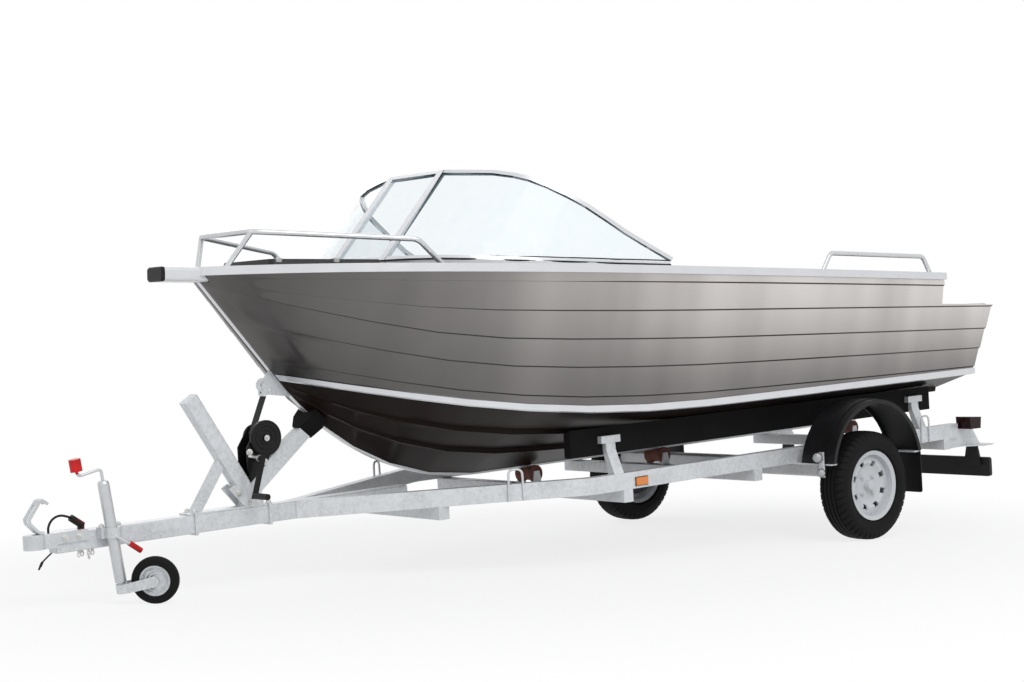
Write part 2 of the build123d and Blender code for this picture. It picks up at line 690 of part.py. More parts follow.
def deck_under(x):
    """Height of the foredeck's underside at x, less a fit."""
    return SHEER_Z + x * sheer_rise + GUNWALE_DEPTH - DECK_THICK - FIT


with BuildPart() as dash:
    with BuildSketch(Plane.XZ.offset(-DASH_HALF)):
        with BuildLine():
            Polyline(
                (DASH_X[0] + 60, deck_under(DASH_X[0] + 60)), (DASH_X[1], deck_under(DASH_X[1])),
                (DASH_X[1], SOLE_TOP + 110), (DASH_X[1] - 40, SOLE_TOP + 110),
                (DASH_X[1] - 40, DASH_LOW - 40), (DASH_X[0], DASH_LOW), (DASH_X[0], DASH_LOW + 60),
                close=True,
            )
        make_face()
    extrude(amount=2 * DASH_HALF)
HELM_Y = -330.0
HELM_RADIUS = 165.0
HELM_RIM = 14.0
HELM_TILT = 25.0
helm_x = DASH_X[0] + 12
helm_z = DASH_LOW + 130
helm_plane = Plane(
    origin=(helm_x - 95, HELM_Y, helm_z + 30), x_dir=(0, 1, 0),
    z_dir=(-cos(radians(HELM_TILT)), 0, sin(radians(HELM_TILT))),
)
HELM_SHAFT = 10.0
HELM_BOSS = 36.0
with BuildPart() as helm_wheel:
    with BuildSketch(Plane(helm_plane.origin, x_dir=helm_plane.z_dir, z_dir=helm_plane.x_dir)):
        with Locations((0, HELM_RADIUS)):
            Circle(HELM_RIM)
    revolve(axis=Axis(helm_plane.origin, helm_plane.z_dir))
    with BuildSketch(helm_plane.offset(-10)):
        Circle(HELM_BOSS)
        with PolarLocations(HELM_RADIUS / 2, 3, start_angle=90):
            Rectangle(HELM_RADIUS, 26)
    extrude(amount=14)
    with BuildSketch(helm_plane.offset(-48)):
        Circle(HELM_SHAFT)
    extrude(amount=40)
with BuildPart() as helm_pedestal:
    with BuildSketch(helm_plane.offset(-40)):
        Circle(30)
    extrude(amount=-78)
    with BuildSketch(helm_plane.offset(-40)):
        Circle(HELM_SHAFT + RUNNING)
    extrude(amount=-10, mode=Mode.SUBTRACT)
with dash:
    add(helm_pedestal.part)

SEAT_X = 1560.0
SEAT_Y = (330.0, -330.0)
SEAT_WIDTH = 440.0
SEAT_DEPTH = 430.0
SEAT_Z = 800.0
CUSHION = 90.0
with BuildPart() as seat_bases:
    for y in SEAT_Y:
        with BuildSketch(Plane.XY.offset(SOLE_TOP + FIT)):
            with Locations((SEAT_X, y)):
                RectangleRounded(360, 380, 30)
        extrude(amount=SEAT_Z - SOLE_TOP - FIT, taper=-2)
with BuildPart() as seat_cushions:
    for y in SEAT_Y:
        with BuildSketch(Plane.XY.offset(SEAT_Z + FIT)):
            with Locations((SEAT_X, y)):
                RectangleRounded(SEAT_DEPTH, SEAT_WIDTH, 50)
        extrude(amount=CUSHION)
back_plane = Plane(
    origin=(SEAT_X - SEAT_DEPTH / 2 + 70, 0, SEAT_Z + CUSHION + 2 * FIT), x_dir=(0, 1, 0),
    z_dir=(1, 0, 0.16),
)
with BuildPart() as seat_backs:
    for y in SEAT_Y:
        with BuildSketch(back_plane):
            with Locations((y, 195)):
                RectangleRounded(SEAT_WIDTH, 380, 60)
        extrude(amount=-80)
    split(bisect_by=Plane.XY.offset(SEAT_Z + CUSHION + 2 * FIT), keep=Keep.TOP)

# Bow eye: a lobed plate on the stem with the eye and a small pin hole
EYE_Z = 760.0
EYE_REACH = 88.0          # from the stem to the eye's middle
EYE_LOBE = 31.0
EYE_BORE = 14.0
EYE_THICK = 12.0
EYE_SPAN = 62.0           # how far the plate follows the stem above and below the eye
PIN_BORE = 6.0
eye_x = stem_at(EYE_Z, -FIT)[0] + EYE_REACH
with BuildPart() as bow_eye:
    with BuildSketch(Plane.XZ.offset(-EYE_THICK / 2)):
        with BuildLine():
            Polyline(
                stem_at(EYE_Z - EYE_SPAN, -FIT), (eye_x - 34, EYE_Z - 46), (eye_x + 12, EYE_Z - 16),
                (eye_x - 4, EYE_Z + 24), stem_at(EYE_Z + EYE_SPAN, -FIT), close=True,
            )
        make_face()
        with Locations((eye_x, EYE_Z)):
            Circle(EYE_LOBE)
            Circle(EYE_BORE, mode=Mode.SUBTRACT)
        with Locations((eye_x - 38, EYE_Z - 24)):
            Circle(PIN_BORE, mode=Mode.SUBTRACT)
    extrude(amount=EYE_THICK)

# Trailer frame: a drawbar, two rails that close on it in a vee, and cross tubes below
rail_low = RAIL_TOP - RAIL_DEPTH
weld_y = DRAWBAR / 2 + FIT
vee = atan2(rail_out - weld_y, SEAM_X - BEND_X)
with BuildPart() as rail_port:
    with BuildSketch(Plane.XY.offset(rail_low)):
        with BuildLine():
            inner_bend = BEND_X - RAIL_WIDTH * tan(vee / 2)
            Polyline(
                (RAIL_AFT, rail_out), (BEND_X, rail_out), (SEAM_X, weld_y),
                (SEAM_X - RAIL_WIDTH / sin(vee), weld_y),
                (inner_bend, rail_out - RAIL_WIDTH), (RAIL_AFT, rail_out - RAIL_WIDTH), close=True,
            )
        make_face()
        fillet(vertices().sort_by_distance((BEND_X, rail_out))[0], BEND_RADIUS + RAIL_WIDTH)
        fillet(vertices().sort_by_distance((inner_bend, rail_out - RAIL_WIDTH))[0], BEND_RADIUS)
    extrude(amount=RAIL_DEPTH)
with BuildPart() as rail_starboard:
    mirror(rail_port.part, about=Plane.XZ)
with BuildPart() as drawbar:
    with BuildSketch(Plane.YZ.offset(DRAWBAR_AFT)):
        with Locations((0, RAIL_TOP - DRAWBAR / 2)):
            RectangleRounded(DRAWBAR, DRAWBAR, 6)
    extrude(amount=DRAWBAR_FORE - DRAWBAR_AFT)
with BuildPart() as cross_tubes:
    for x in CROSS_X:
        reach = rail_out if x < BEND_X else weld_y + (SEAM_X - x) * tan(vee) - 8
        with BuildSketch(Plane.XZ.offset(-reach)):
            with Locations((x, rail_low - CROSS_SIZE / 2)):
                RectangleRounded(CROSS_SIZE, CROSS_SIZE, 5)
        extrude(amount=2 * reach)

# Torsion axle: beam below the rails, trailing arms and stub axles
ARM_GAP = 14.0
arm_in = rail_out + ARM_GAP
arm_out = arm_in + ARM_THICK
hub_in = arm_out + 10
stub_end = wheel_y - 20
beam_z = rail_low - BEAM_SIZE / 2
with BuildPart() as axle_beam:
    with BuildSketch(Plane.XZ.offset(-arm_in)):
        with Locations((BEAM_X, beam_z)):
            RectangleRounded(BEAM_SIZE, BEAM_SIZE, 12)
    extrude(amount=2 * arm_in)
with BuildPart() as arm_port:
    with BuildSketch(Plane.XZ.offset(-arm_in - FIT)):
        with BuildLine():
            Polyline(
                (-34, -30), (34, -34), (BEAM_X + 40, beam_z - 40), (BEAM_X + 40, beam_z + 38),
                (BEAM_X - 40, beam_z + 38), (-34, 34), close=True,
            )
        make_face()
    extrude(amount=-ARM_THICK + FIT)
    with BuildSketch(Plane.XZ.offset(-arm_out)):
        Circle(STUB_RADIUS)
    extrude(amount=-(stub_end - arm_out))
with axle_beam:
    add(arm_port.part)
    mirror(arm_port.part, about=Plane.XZ)

# Road wheels, drawn about the Y axis at the middle of the tread.  Positive y faces outboard.
VENTS = 8
DISC_OUT = 18.0           # face of the wheel disc, outboard of the tread's middle
BEAD_RADIUS = RIM_RADIUS - 17.0
BOLT_CIRCLE = 60.0
HUB_CAP = 27.0
HUB_BACK = hub_in - wheel_y
BORE_END = stub_end - wheel_y + 4
VENT_CIRCLE = 115.0
with BuildPart() as rim_port:
    with BuildSketch(Plane.XY):
        with BuildLine():
            half = RIM_WIDTH / 2
            Polyline(
                (0, DISC_OUT + 38), (HUB_CAP - 3, DISC_OUT + 38), (HUB_CAP, DISC_OUT + 4),
                (HUB_RADIUS, DISC_OUT + 4),
                (HUB_RADIUS, DISC_OUT), (74, DISC_OUT), (92, DISC_OUT + 2), (118, DISC_OUT + 22),
                (BEAD_RADIUS - 26, DISC_OUT + 18), (BEAD_RADIUS - 4, 30), (BEAD_RADIUS - 4, half - 8),
                (RIM_RADIUS, half), (RIM_RADIUS, half - 5), (BEAD_RADIUS, half - 12), (BEAD_RADIUS, 34),
                (BEAD_RADIUS - 12, 14), (BEAD_RADIUS - 12, -18), (BEAD_RADIUS, -30),
                (BEAD_RADIUS, -half + 12),
                (RIM_RADIUS, -half + 5), (RIM_RADIUS, -half), (BEAD_RADIUS - 4, -half + 8),
                (BEAD_RADIUS - 4, -34),
                (BEAD_RADIUS - 16, -22), (BEAD_RADIUS - 16, 18), (BEAD_RADIUS - 30, DISC_OUT + 10),
                (120, DISC_OUT + 14), (94, DISC_OUT - 6), (72, DISC_OUT - 8), (HUB_RADIUS, DISC_OUT - 8),
                (HUB_RADIUS, HUB_BACK), (STUB_RADIUS + RUNNING, HUB_BACK),
                (STUB_RADIUS + RUNNING, BORE_END),
                (0, BORE_END), close=True,
            )
        make_face()
    revolve(axis=Axis.Y)
    with BuildSketch(Plane.XZ.offset(-DISC_OUT - 60)):
        with PolarLocations(VENT_CIRCLE, VENTS):
            with BuildLine():
                Polyline((-13, -12), (13, -20), (13, 20), (-13, 12), close=True)
            make_face()
    extrude(amount=70, mode=Mode.SUBTRACT)
    with BuildSketch(Plane.XZ.offset(-DISC_OUT)):
        with PolarLocations(BOLT_CIRCLE, 4, start_angle=45):
            RegularPolygon(9, 6)
    extrude(amount=-12)
SHOULDER = 34.0
with BuildPart() as tyre_port:
    with BuildSketch(Plane.XY):
        with BuildLine():
            half = TYRE_WIDTH / 2
            bead = RIM_WIDTH / 2 - 13
            Polyline((BEAD_RADIUS + FIT, -bead), (RIM_RADIUS + 2, -bead), (RIM_RADIUS + 10, -half + 6))
            ThreePointArc((RIM_RADIUS + 10, -half + 6), (228, -half), (TYRE_RADIUS - SHOULDER, -half + 6))
            ThreePointArc(
                (TYRE_RADIUS - SHOULDER, -half + 6), (TYRE_RADIUS - 13, -half + 16),
                (TYRE_RADIUS - 3, -half + 30),
            )
            ThreePointArc((TYRE_RADIUS - 3, -half + 30), (TYRE_RADIUS, 0), (TYRE_RADIUS - 3, half - 30))
            ThreePointArc(
                (TYRE_RADIUS - 3, half - 30), (TYRE_RADIUS - 13, half - 16),
                (TYRE_RADIUS - SHOULDER, half - 6),
            )
            ThreePointArc((TYRE_RADIUS - SHOULDER, half - 6), (228, half), (RIM_RADIUS + 10, half - 6))
            Polyline(
                (RIM_RADIUS + 10, half - 6), (RIM_RADIUS + 2, bead), (BEAD_RADIUS + FIT, bead),
                (BEAD_RADIUS + FIT, -bead),
            )
        make_face()
    revolve(axis=Axis.Y)
wheel_places = {"port": Location((0, wheel_y, 0)), "starboard": Location((0, -wheel_y, 0), (0, 0, 180))}

# Mudguards on arms from the rails, mudflaps behind, marker lamps in front
GUARD_Z = 80.0
GUARD_RADIUS = 370.0
GUARD_THICK = 6.0
GUARD_IN = 104.0          # inboard and outboard of the tread's middle
GUARD_OUT = 109.0
GUARD_BAND = (46.0, 5.0)  # raised band: its margin from the edges, and its height
GUARD_LIP = 22.0
GUARD_END = 150.0
FLAP_LOW = -77.0
ARM_BAR = (44.0, 8.0)
guard_y = (wheel_y - GUARD_IN, wheel_y + GUARD_OUT)
with BuildPart() as guard_port:
    with BuildSketch(Plane.XZ.offset(-guard_y[0])):
        with Locations((0, GUARD_Z)):
            Circle(GUARD_RADIUS)
            Circle(GUARD_RADIUS - GUARD_LIP, mode=Mode.SUBTRACT)
        with Locations((0, GUARD_END - 1000)):
            Rectangle(2000, 2000, mode=Mode.SUBTRACT)
    extrude(amount=-(guard_y[1] - guard_y[0]))
    with BuildSketch(Plane.XZ.offset(-guard_y[0] - GUARD_BAND[0])):
        with Locations((0, GUARD_Z)):
            Circle(GUARD_RADIUS + GUARD_BAND[1])
            Circle(GUARD_RADIUS - GUARD_THICK, mode=Mode.SUBTRACT)
        with Locations((0, GUARD_END - 1000)):
            Rectangle(2000, 2000, mode=Mode.SUBTRACT)
    extrude(amount=-(guard_y[1] - guard_y[0] - 2 * GUARD_BAND[0]))
    with BuildSketch(Plane.XZ.offset(-guard_y[0] - GUARD_THICK)):
        with Locations((0, GUARD_Z)):
            Circle(GUARD_RADIUS - GUARD_THICK)
    extrude(amount=-(guard_y[1] - guard_y[0] - 2 * GUARD_THICK), mode=Mode.SUBTRACT)
guard_x = sqrt(GUARD_RADIUS**2 - (GUARD_END - GUARD_Z) ** 2)
with BuildPart() as guard_arm_port:
    for x in (guard_x - 20, -guard_x + 20):
        with BuildSketch(Plane.XY.offset(GUARD_END - FIT)):
            with Locations((x, (rail_out + guard_y[1] - 15) / 2)):
                Rectangle(ARM_BAR[0], guard_y[1] - 15 - rail_out)
        extrude(amount=-ARM_BAR[1])
with BuildPart() as flap_port:
    with BuildSketch(Plane.YZ.offset(-guard_x - 2 - FIT)):
        with Locations(((guard_y[0] + guard_y[1]) / 2, (FLAP_LOW + GUARD_END - FIT) / 2)):
            RectangleRounded(guard_y[1] - guard_y[0] - 20, GUARD_END - FIT - FLAP_LOW, 12)
    extrude(amount=-5)
with guard_port:
    add(flap_port.part)
lamp_post = sqrt((GUARD_RADIUS + GUARD_BAND[1]) ** 2 - (GUARD_END - GUARD_Z) ** 2) + FIT
MARKER_LAMP = (44.0, 60.0, 40.0)
MARKER_POST = (10.0, 30.0, 130.0)
with BuildPart() as lamp_port:
    with Locations(
        (lamp_post + 30, wheel_y + 29, GUARD_END + 34), (lamp_post + 30, wheel_y + 49, GUARD_END - 44),
    ):
        Box(*MARKER_LAMP)
    with Locations((lamp_post + 5, wheel_y + 39, GUARD_END - 4)):
        Box(*MARKER_POST)
with BuildPart() as marker_lamps:
    add(lamp_port.part)
    mirror(lamp_port.part, about=Plane.XZ)

# Bunks and their posts, keel rollers in forks on the cross tubes
BUNK_X = (-914.0, 1847.0)
BUNK_INSET = 121.0        # from the rail's outer face to the bunk's inner edge
BUNK_WIDTH = 45.0
BUNK_GAP = 3.0            # free play under the hull
BUNK_DEPTH = 115.0
CAP_HALF = 62.0           # caps over the posts, against the bunks
CAP_DEPTH = 34.0
CAP_OUT = 27.0
POST_X = (1610.0, -750.0)
POST_WIDTH = 62.0
bunk_y = (rail_out - BUNK_INSET, rail_out - BUNK_INSET + BUNK_WIDTH)
bunk_slope = (CHINE_Z - KEEL_Z - KEEL_REVEAL) / (CHINE_HALF[2] + LAP_DEPTH - KEEL_HALF)
bunk_top = KEEL_Z + KEEL_REVEAL + (bunk_y[0] - KEEL_HALF) * bunk_slope - BUNK_GAP
with BuildPart() as bunk_port:
    with BuildSketch(Plane.YZ.offset(BUNK_X[0])):
        with BuildLine():
            lift = BUNK_WIDTH * bunk_slope
            Polyline(
                (bunk_y[0], bunk_top - BUNK_DEPTH), (bunk_y[1], bunk_top - BUNK_DEPTH),
                (bunk_y[1], bunk_top + lift),
                (bunk_y[0], bunk_top), close=True,
            )
        make_face()
    extrude(amount=BUNK_X[1] - BUNK_X[0])
with BuildPart() as bunks:
    add(bunk_port.part)
    mirror(bunk_port.part, about=Plane.XZ)
with BuildPart() as post_port:
    for x in POST_X:
        with BuildSketch(Plane.YZ.offset(x - POST_WIDTH / 2)):
            with BuildLine():
                face = bunk_y[1] + FIT
                Polyline(
                    (rail_out - 4, RAIL_TOP), (rail_out - RAIL_WIDTH + 4, RAIL_TOP),
                    (face, bunk_top - BUNK_DEPTH + 10),
                    (face, bunk_top - 34), (face + 20, bunk_top - 34),
                    (face + 24, bunk_top - BUNK_DEPTH + 20), close=True,
                )
            make_face()
        extrude(amount=POST_WIDTH)
        with BuildSketch(Plane.YZ.offset(x - CAP_HALF)):
            with Locations((face + CAP_OUT / 2, bunk_top - 44)):
                Rectangle(CAP_OUT, CAP_DEPTH)
        extrude(amount=2 * CAP_HALF)
with BuildPart() as bunk_posts:
    add(post_port.part)
    mirror(post_port.part, about=Plane.XZ)
ROLLER_WAIST = 34.0
ROLLER_END = 44.0
ROLLER_HALF = 56.0
ROLLER_X = CROSS_X[1:]
FORK_THICK = 8.0
roller_z = KEEL_Z - ROLLER_WAIST - FIT
with BuildPart() as keel_rollers:
    for x in ROLLER_X:
        with BuildSketch(Plane(origin=(x, 0, roller_z), x_dir=(1, 0, 0), z_dir=(0, 0, 1))):
            with BuildLine():
                Polyline(
                    (0, -ROLLER_HALF), (ROLLER_END, -ROLLER_HALF), (ROLLER_END, -ROLLER_HALF + 12),
                    (ROLLER_WAIST, -18),
                    (ROLLER_WAIST, 18), (ROLLER_END, ROLLER_HALF - 12), (ROLLER_END, ROLLER_HALF),
                    (0, ROLLER_HALF),
                    close=True,
                )
            make_face()
        revolve(axis=Axis((x, 0, roller_z), (0, 1, 0)))
with cross_tubes:
    for x in ROLLER_X:
        for y in (-ROLLER_HALF - FIT - FORK_THICK, ROLLER_HALF + FIT):
            with BuildSketch(Plane.XZ.offset(-y)):
                with BuildLine():
                    Polyline(
                        (x - 28, rail_low), (x + 28, rail_low), (x + 16, roller_z + 14),
                        (x - 16, roller_z + 14), close=True,
                    )
                make_face()
            extrude(amount=-FORK_THICK)

# Winch post on the drawbar with its stay, and the arm that carries the bow stop
POST_FOOT = 172.0         # forward of the foot of the stem
POST_REACH = 301.0        # lean of the post, foot to head
POST_TOP = 729.0
POST_SECTION = (72.0, 60.0)
POST_ROUND = 8.0
STAY_FOOT = 306.0         # forward of the post's foot
STAY_JOIN = 0.47          # share of the post's length where the stay meets it
STAY_SECTION = (42.0, 34.0)
ARM_BREADTH = 56.0
ARM_HALF = 33.0           # half depth of the arm at its head
BASE_PLATE = 8.0
STRAP_PLATE = 8.0         # clamping straps round the drawbar
STRAP_WIDTH = 14.0
STOP_ANGLE = 41.5         # bearing of the bow stop round the forefoot
STOP_SEAT = 84.0          # from the keel to the arm's head
STOP_HALF = (70.0, 42.0)  # half breadth of the stop, half length along the keel
STOP_VEE = 18.0
post_x = stem_foot[0] + POST_FOOT
post_lean = atan2(POST_REACH, POST_TOP - RAIL_TOP)
post_length = hypot(POST_REACH, POST_TOP - RAIL_TOP)
stay_head = (POST_REACH * STAY_JOIN, (POST_TOP - RAIL_TOP) * STAY_JOIN)
stay_lean = atan2(stay_head[0] - STAY_FOOT, stay_head[1])
stay_length = hypot(stay_head[0] - STAY_FOOT, stay_head[1])
stop_angle = radians(STOP_ANGLE)
stop_seat = forefoot_at(stop_angle, FOREFOOT_R + STOP_SEAT)
stop_along = (cos(stop_angle), sin(stop_angle))


def leaning(x, angle):
    """Plane on the drawbar's top at x whose normal leans forward by angle."""
    return Plane(
        origin=(x, 0, RAIL_TOP), x_dir=(cos(angle), 0, -sin(angle)), z_dir=(sin(angle), 0, cos(angle)),
    )


with BuildPart() as winch_post:
    # post and stay are drawn from below the drawbar's top and cut off on it
    with BuildSketch(leaning(post_x, post_lean).offset(-POST_SECTION[0])):
        RectangleRounded(POST_SECTION[0], POST_SECTION[1], POST_ROUND)
    extrude(amount=post_length + POST_SECTION[0])
    with BuildSketch(leaning(post_x + STAY_FOOT, stay_lean).offset(-STAY_SECTION[0])):
        Rectangle(*STAY_SECTION)
    extrude(amount=stay_length + STAY_SECTION[0])
    with BuildSketch(Plane.XZ.offset(-ARM_BREADTH / 2)):
        with BuildLine():
            Polyline(
                (stop_seat[0] + ARM_HALF * stop_along[0], stop_seat[1] + ARM_HALF * stop_along[1]),
                (post_x - 70, 425), (post_x + 31, 337), (post_x + 73, RAIL_TOP), (post_x - 14, RAIL_TOP),
                (post_x - 29, 290),
                (stop_seat[0] - ARM_HALF * stop_along[0], stop_seat[1] - ARM_HALF * stop_along[1]),
                close=True,
            )
        make_face()
    extrude(amount=ARM_BREADTH)
    for y in (-POST_SECTION[1] / 2, POST_SECTION[1] / 2 + STRAP_PLATE):
        with BuildSketch(Plane.XZ.offset(-y)):
            with BuildLine():
                Polyline(
                    (post_x + 142, 318), (post_x + 111, 335), (post_x + 8, 250), (post_x + 8, RAIL_TOP),
                    (post_x + 64, RAIL_TOP), close=True,
                )
            make_face()
        extrude(amount=STRAP_PLATE)
    plate_x = (post_x - 72, post_x + STAY_FOOT + 50)
    with Locations((sum(plate_x) / 2, 0, RAIL_TOP + BASE_PLATE / 2)):
        Box(plate_x[1] - plate_x[0], DRAWBAR, BASE_PLATE)
    split(bisect_by=Plane.XY.offset(RAIL_TOP), keep=Keep.TOP)
    for x in (post_x - 64, post_x + STAY_FOOT + 8):
        with BuildSketch(Plane.YZ.offset(x)):
            with Locations((0, RAIL_TOP - DRAWBAR / 2)):
                Rectangle(DRAWBAR + 2 * STRAP_PLATE + 2 * FIT, DRAWBAR + 2 * STRAP_PLATE + 2 * FIT)
                Rectangle(DRAWBAR + 2 * FIT, DRAWBAR + 2 * FIT, mode=Mode.SUBTRACT)
        extrude(amount=STRAP_WIDTH)
stop_foot = forefoot_at(stop_angle, FOREFOOT_R + FIT)
stop_plane = Plane(
    origin=(stop_foot[0], 0, stop_foot[1]), x_dir=(0, 1, 0), z_dir=(stop_along[0], 0, stop_along[1]),
)
with BuildPart() as bow_stop:
    with BuildSketch(stop_plane.offset(-STOP_HALF[1])):
        with BuildLine():
            stop_low = 2 * FIT - STOP_SEAT
            stop_rise = (STOP_HALF[0] - KEEL_HALF) * tan(radians(STOP_VEE))
            half = [
                (ARM_BREADTH / 2, stop_low), (STOP_HALF[0], stop_low / 3), (STOP_HALF[0], stop_rise),
                (KEEL_HALF, 0),
            ]
            Polyline(*half, *[(-y, z) for y, z in reversed(half)], close=True)
        make_face()
    extrude(amount=2 * STOP_HALF[1])

# Hand winch on the arm: cheeks, drum and round gear cover
DRUM = (-53.0, 526.0)     # forward of the post's foot, and up
DRUM_RADIUS = 46.0
DRUM_HALF = 34.0
CHEEK = 6.0
COVER_RADIUS = 80.0
COVER_THICK = 12.0
FLANGE_RADIUS = 62.0
AXLE_BOSS = 17.0
drum_at = (post_x + DRUM[0], DRUM[1])
with BuildPart() as winch:
    with BuildSketch(Plane.XZ.offset(-DRUM_HALF)):
        with Locations(drum_at):
            Circle(DRUM_RADIUS)
    extrude(amount=2 * DRUM_HALF)
    for y in (-DRUM_HALF, DRUM_HALF + CHEEK):
        with BuildSketch(Plane.XZ.offset(-y)):
            with BuildLine():
                Polyline(
                    (post_x - 64, 420), (post_x + 28, 342), (post_x + 44, 400), (post_x + 44, 490),
                    (post_x - 12, 572), (post_x - 80, 560), (post_x - 100, 505), close=True,
                )
            make_face()
        extrude(amount=CHEEK)
    with BuildSketch(Plane.XZ.offset(-DRUM_HALF)):
        with BuildLine():
            Polyline(
                (post_x - 64, 414), (post_x - 64, 436), (post_x + 28, 356), (post_x + 28, 334), close=True
            )
        make_face()
    extrude(amount=2 * DRUM_HALF)
    add(winch_post.part, mode=Mode.SUBTRACT)
    with BuildSketch(Plane.XZ.offset(-DRUM_HALF - CHEEK)):
        with Locations(drum_at):
            Circle(COVER_RADIUS)
    extrude(amount=-COVER_THICK)
    with BuildSketch(Plane.XZ.offset(-DRUM_HALF - CHEEK - COVER_THICK)):
        with Locations(drum_at):
            Circle(AXLE_BOSS)
    extrude(amount=-CHEEK)
    with BuildSketch(Plane.XZ.offset(DRUM_HALF + CHEEK)):
        with Locations(drum_at):
            Circle(FLANGE_RADIUS)
    extrude(amount=CHEEK)
CRANK_AT = (-11.0, 440.0)
CRANK_END = (50.0, 278.0)
CRANK_SHAFT = 12.0
CRANK_Y = 84.0
CRANK_ARM = 8.0
GRIP_RADIUS = 14.0
GRIP_LENGTH = 108.0
with BuildPart() as winch_handle:
    with BuildSketch(Plane.XZ.offset(-DRUM_HALF - CHEEK - FIT)):
        with Locations((post_x + CRANK_AT[0], CRANK_AT[1])):
            Circle(CRANK_SHAFT)
    extrude(amount=-(CRANK_Y - DRUM_HALF - CHEEK))
    with BuildSketch(Plane.XZ.offset(-CRANK_Y)):
        with BuildLine():
            Polyline(
                (post_x + CRANK_AT[0] - 13, CRANK_AT[1] + 16),
                (post_x + CRANK_AT[0] + 13, CRANK_AT[1] + 16),
                (post_x + CRANK_END[0] + 13, CRANK_END[1] - 10),
                (post_x + CRANK_END[0] - 13, CRANK_END[1] - 14),
                close=True,
            )
        make_face()
    extrude(amount=-CRANK_ARM)
    with BuildSketch(Plane.XZ.offset(-CRANK_Y - CRANK_ARM)):
        with Locations((post_x + CRANK_END[0], CRANK_END[1] + 2)):
            Circle(GRIP_RADIUS)
    extrude(amount=-GRIP_LENGTH)

# Webbing from the drum's front up to the hook in the bow eye
STRAP_HALF = 24.0
STRAP_THICK = 3.0
STRAP_TOP = 50.0          # below the eye
HOOK_CHEEK = 12.0
strap_radius = DRUM_RADIUS + FIT + STRAP_THICK / 2
strap_head = Vector(eye_x, 0, EYE_Z - STRAP_TOP)
strap_run = strap_head - Vector(drum_at[0], 0, drum_at[1])
strap_angle = atan2(strap_run.Z, strap_run.X) - acos(strap_radius / strap_run.length)
strap_foot = Vector(
    drum_at[0] + strap_radius * cos(strap_angle), 0, drum_at[1] + strap_radius * sin(strap_angle),
)
strap_plane = Plane(origin=strap_foot, x_dir=(0, 1, 0), z_dir=strap_head - strap_foot)
with BuildPart() as winch_strap:
    with BuildSketch(strap_plane):
        Rectangle(2 * STRAP_HALF, STRAP_THICK)
    extrude(amount=(strap_head - strap_foot).length)
with BuildPart() as strap_hook:
    hook_half = EYE_THICK / 2 + HOOK_CHEEK
    with BuildSketch(Plane.XZ.offset(-hook_half)):
        with BuildLine():
            hook_low = EYE_Z - STRAP_TOP + STRAP_THICK
            Polyline(
                (eye_x - 14, hook_low), (eye_x + 14, hook_low), (eye_x + 10, EYE_Z + 12),
                (eye_x - 10, EYE_Z + 12),
                close=True,
            )
        make_face()
    extrude(amount=2 * hook_half)
    with Locations((eye_x, 0, EYE_Z)):
        Box(4 * EYE_LOBE, EYE_THICK + 2 * FIT, 2 * EYE_LOBE + 12, mode=Mode.SUBTRACT)
    with BuildSketch(Plane.XZ.offset(-hook_half)):
        with Locations((eye_x, EYE_Z)):
            Circle(EYE_BORE - 4)
    extrude(amount=2 * hook_half)

# Coupling: a pressed channel over the drawbar's end, a nose with the ball's socket, and a lever
BALL = 25.0
BALL_DEPTH = 38.0
COUPLER_X = 4240.0
COUPLER_HEAD = 47.0
COUPLER_NECK = 36.0
COUPLER_FLOOR = 172.0
COUPLER_AFT = 4022.0
COUPLER_WALL = 7.0
CHANNEL_DEPTH = 47.0
COUPLER_EDGE = 4.0
LEVER_HALF = 25.0
LEVER_SLOT = 15.0
coupler_top = RAIL_TOP + FIT + COUPLER_WALL
channel_half = DRAWBAR / 2 + FIT + COUPLER_WALL
# Lever's outline, forward of the ball's middle and above the channel's top
LEVER = (
    (-34.0, -3.0), (-8.0, 4.0), (30.0, 44.0), (34.0, 66.0), (-20.0, 139.0), (-36.0, 144.0), (-62.0, 124.0),
    (-54.0, 116.0), (-36.0, 131.0), (-26.0, 128.0), (22.0, 62.0), (20.0, 50.0), (-14.0, 14.0),
    (-34.0, 10.0),
)
with BuildPart() as coupling:
    with BuildSketch(Plane.YZ.offset(COUPLER_AFT)):
        with Locations((0, coupler_top - CHANNEL_DEPTH / 2)):
            Rectangle(2 * channel_half, CHANNEL_DEPTH)
        with Locations((0, RAIL_TOP + FIT - CHANNEL_DEPTH / 2)):
            Rectangle(DRAWBAR + 2 * FIT, CHANNEL_DEPTH, mode=Mode.SUBTRACT)
    extrude(amount=DRAWBAR_FORE + FIT - COUPLER_AFT)
    with BuildSketch(Plane.XY.offset(COUPLER_FLOOR)):
        with BuildLine():
            Polyline(
                (DRAWBAR_FORE + FIT, -channel_half), (COUPLER_X - 20, -COUPLER_NECK),
                (COUPLER_X, -COUPLER_NECK),
                (COUPLER_X, COUPLER_NECK), (COUPLER_X - 20, COUPLER_NECK),
                (DRAWBAR_FORE + FIT, channel_half),
                close=True,
            )
        make_face()
        with Locations((COUPLER_X, 0)):
            Circle(COUPLER_HEAD)
    extrude(amount=coupler_top - COUPLER_FLOOR)
    chamfer(faces().sort_by(Axis.Z)[-1].edges(), COUPLER_EDGE)
    with BuildSketch(Plane.XY.offset(COUPLER_FLOOR)):
        with Locations((COUPLER_X, 0)):
            Circle(BALL)
    extrude(amount=BALL_DEPTH, mode=Mode.SUBTRACT)
    with BuildSketch(Plane.XZ.offset(-LEVER_HALF)):
        with BuildLine():
            Polyline(*[(COUPLER_X + x, coupler_top + z) for x, z in LEVER], close=True)
        make_face()
    extrude(amount=2 * LEVER_HALF)
    with Locations((COUPLER_X, 0, coupler_top + 86)):
        Box(120, 2 * LEVER_SLOT, 72, mode=Mode.SUBTRACT)

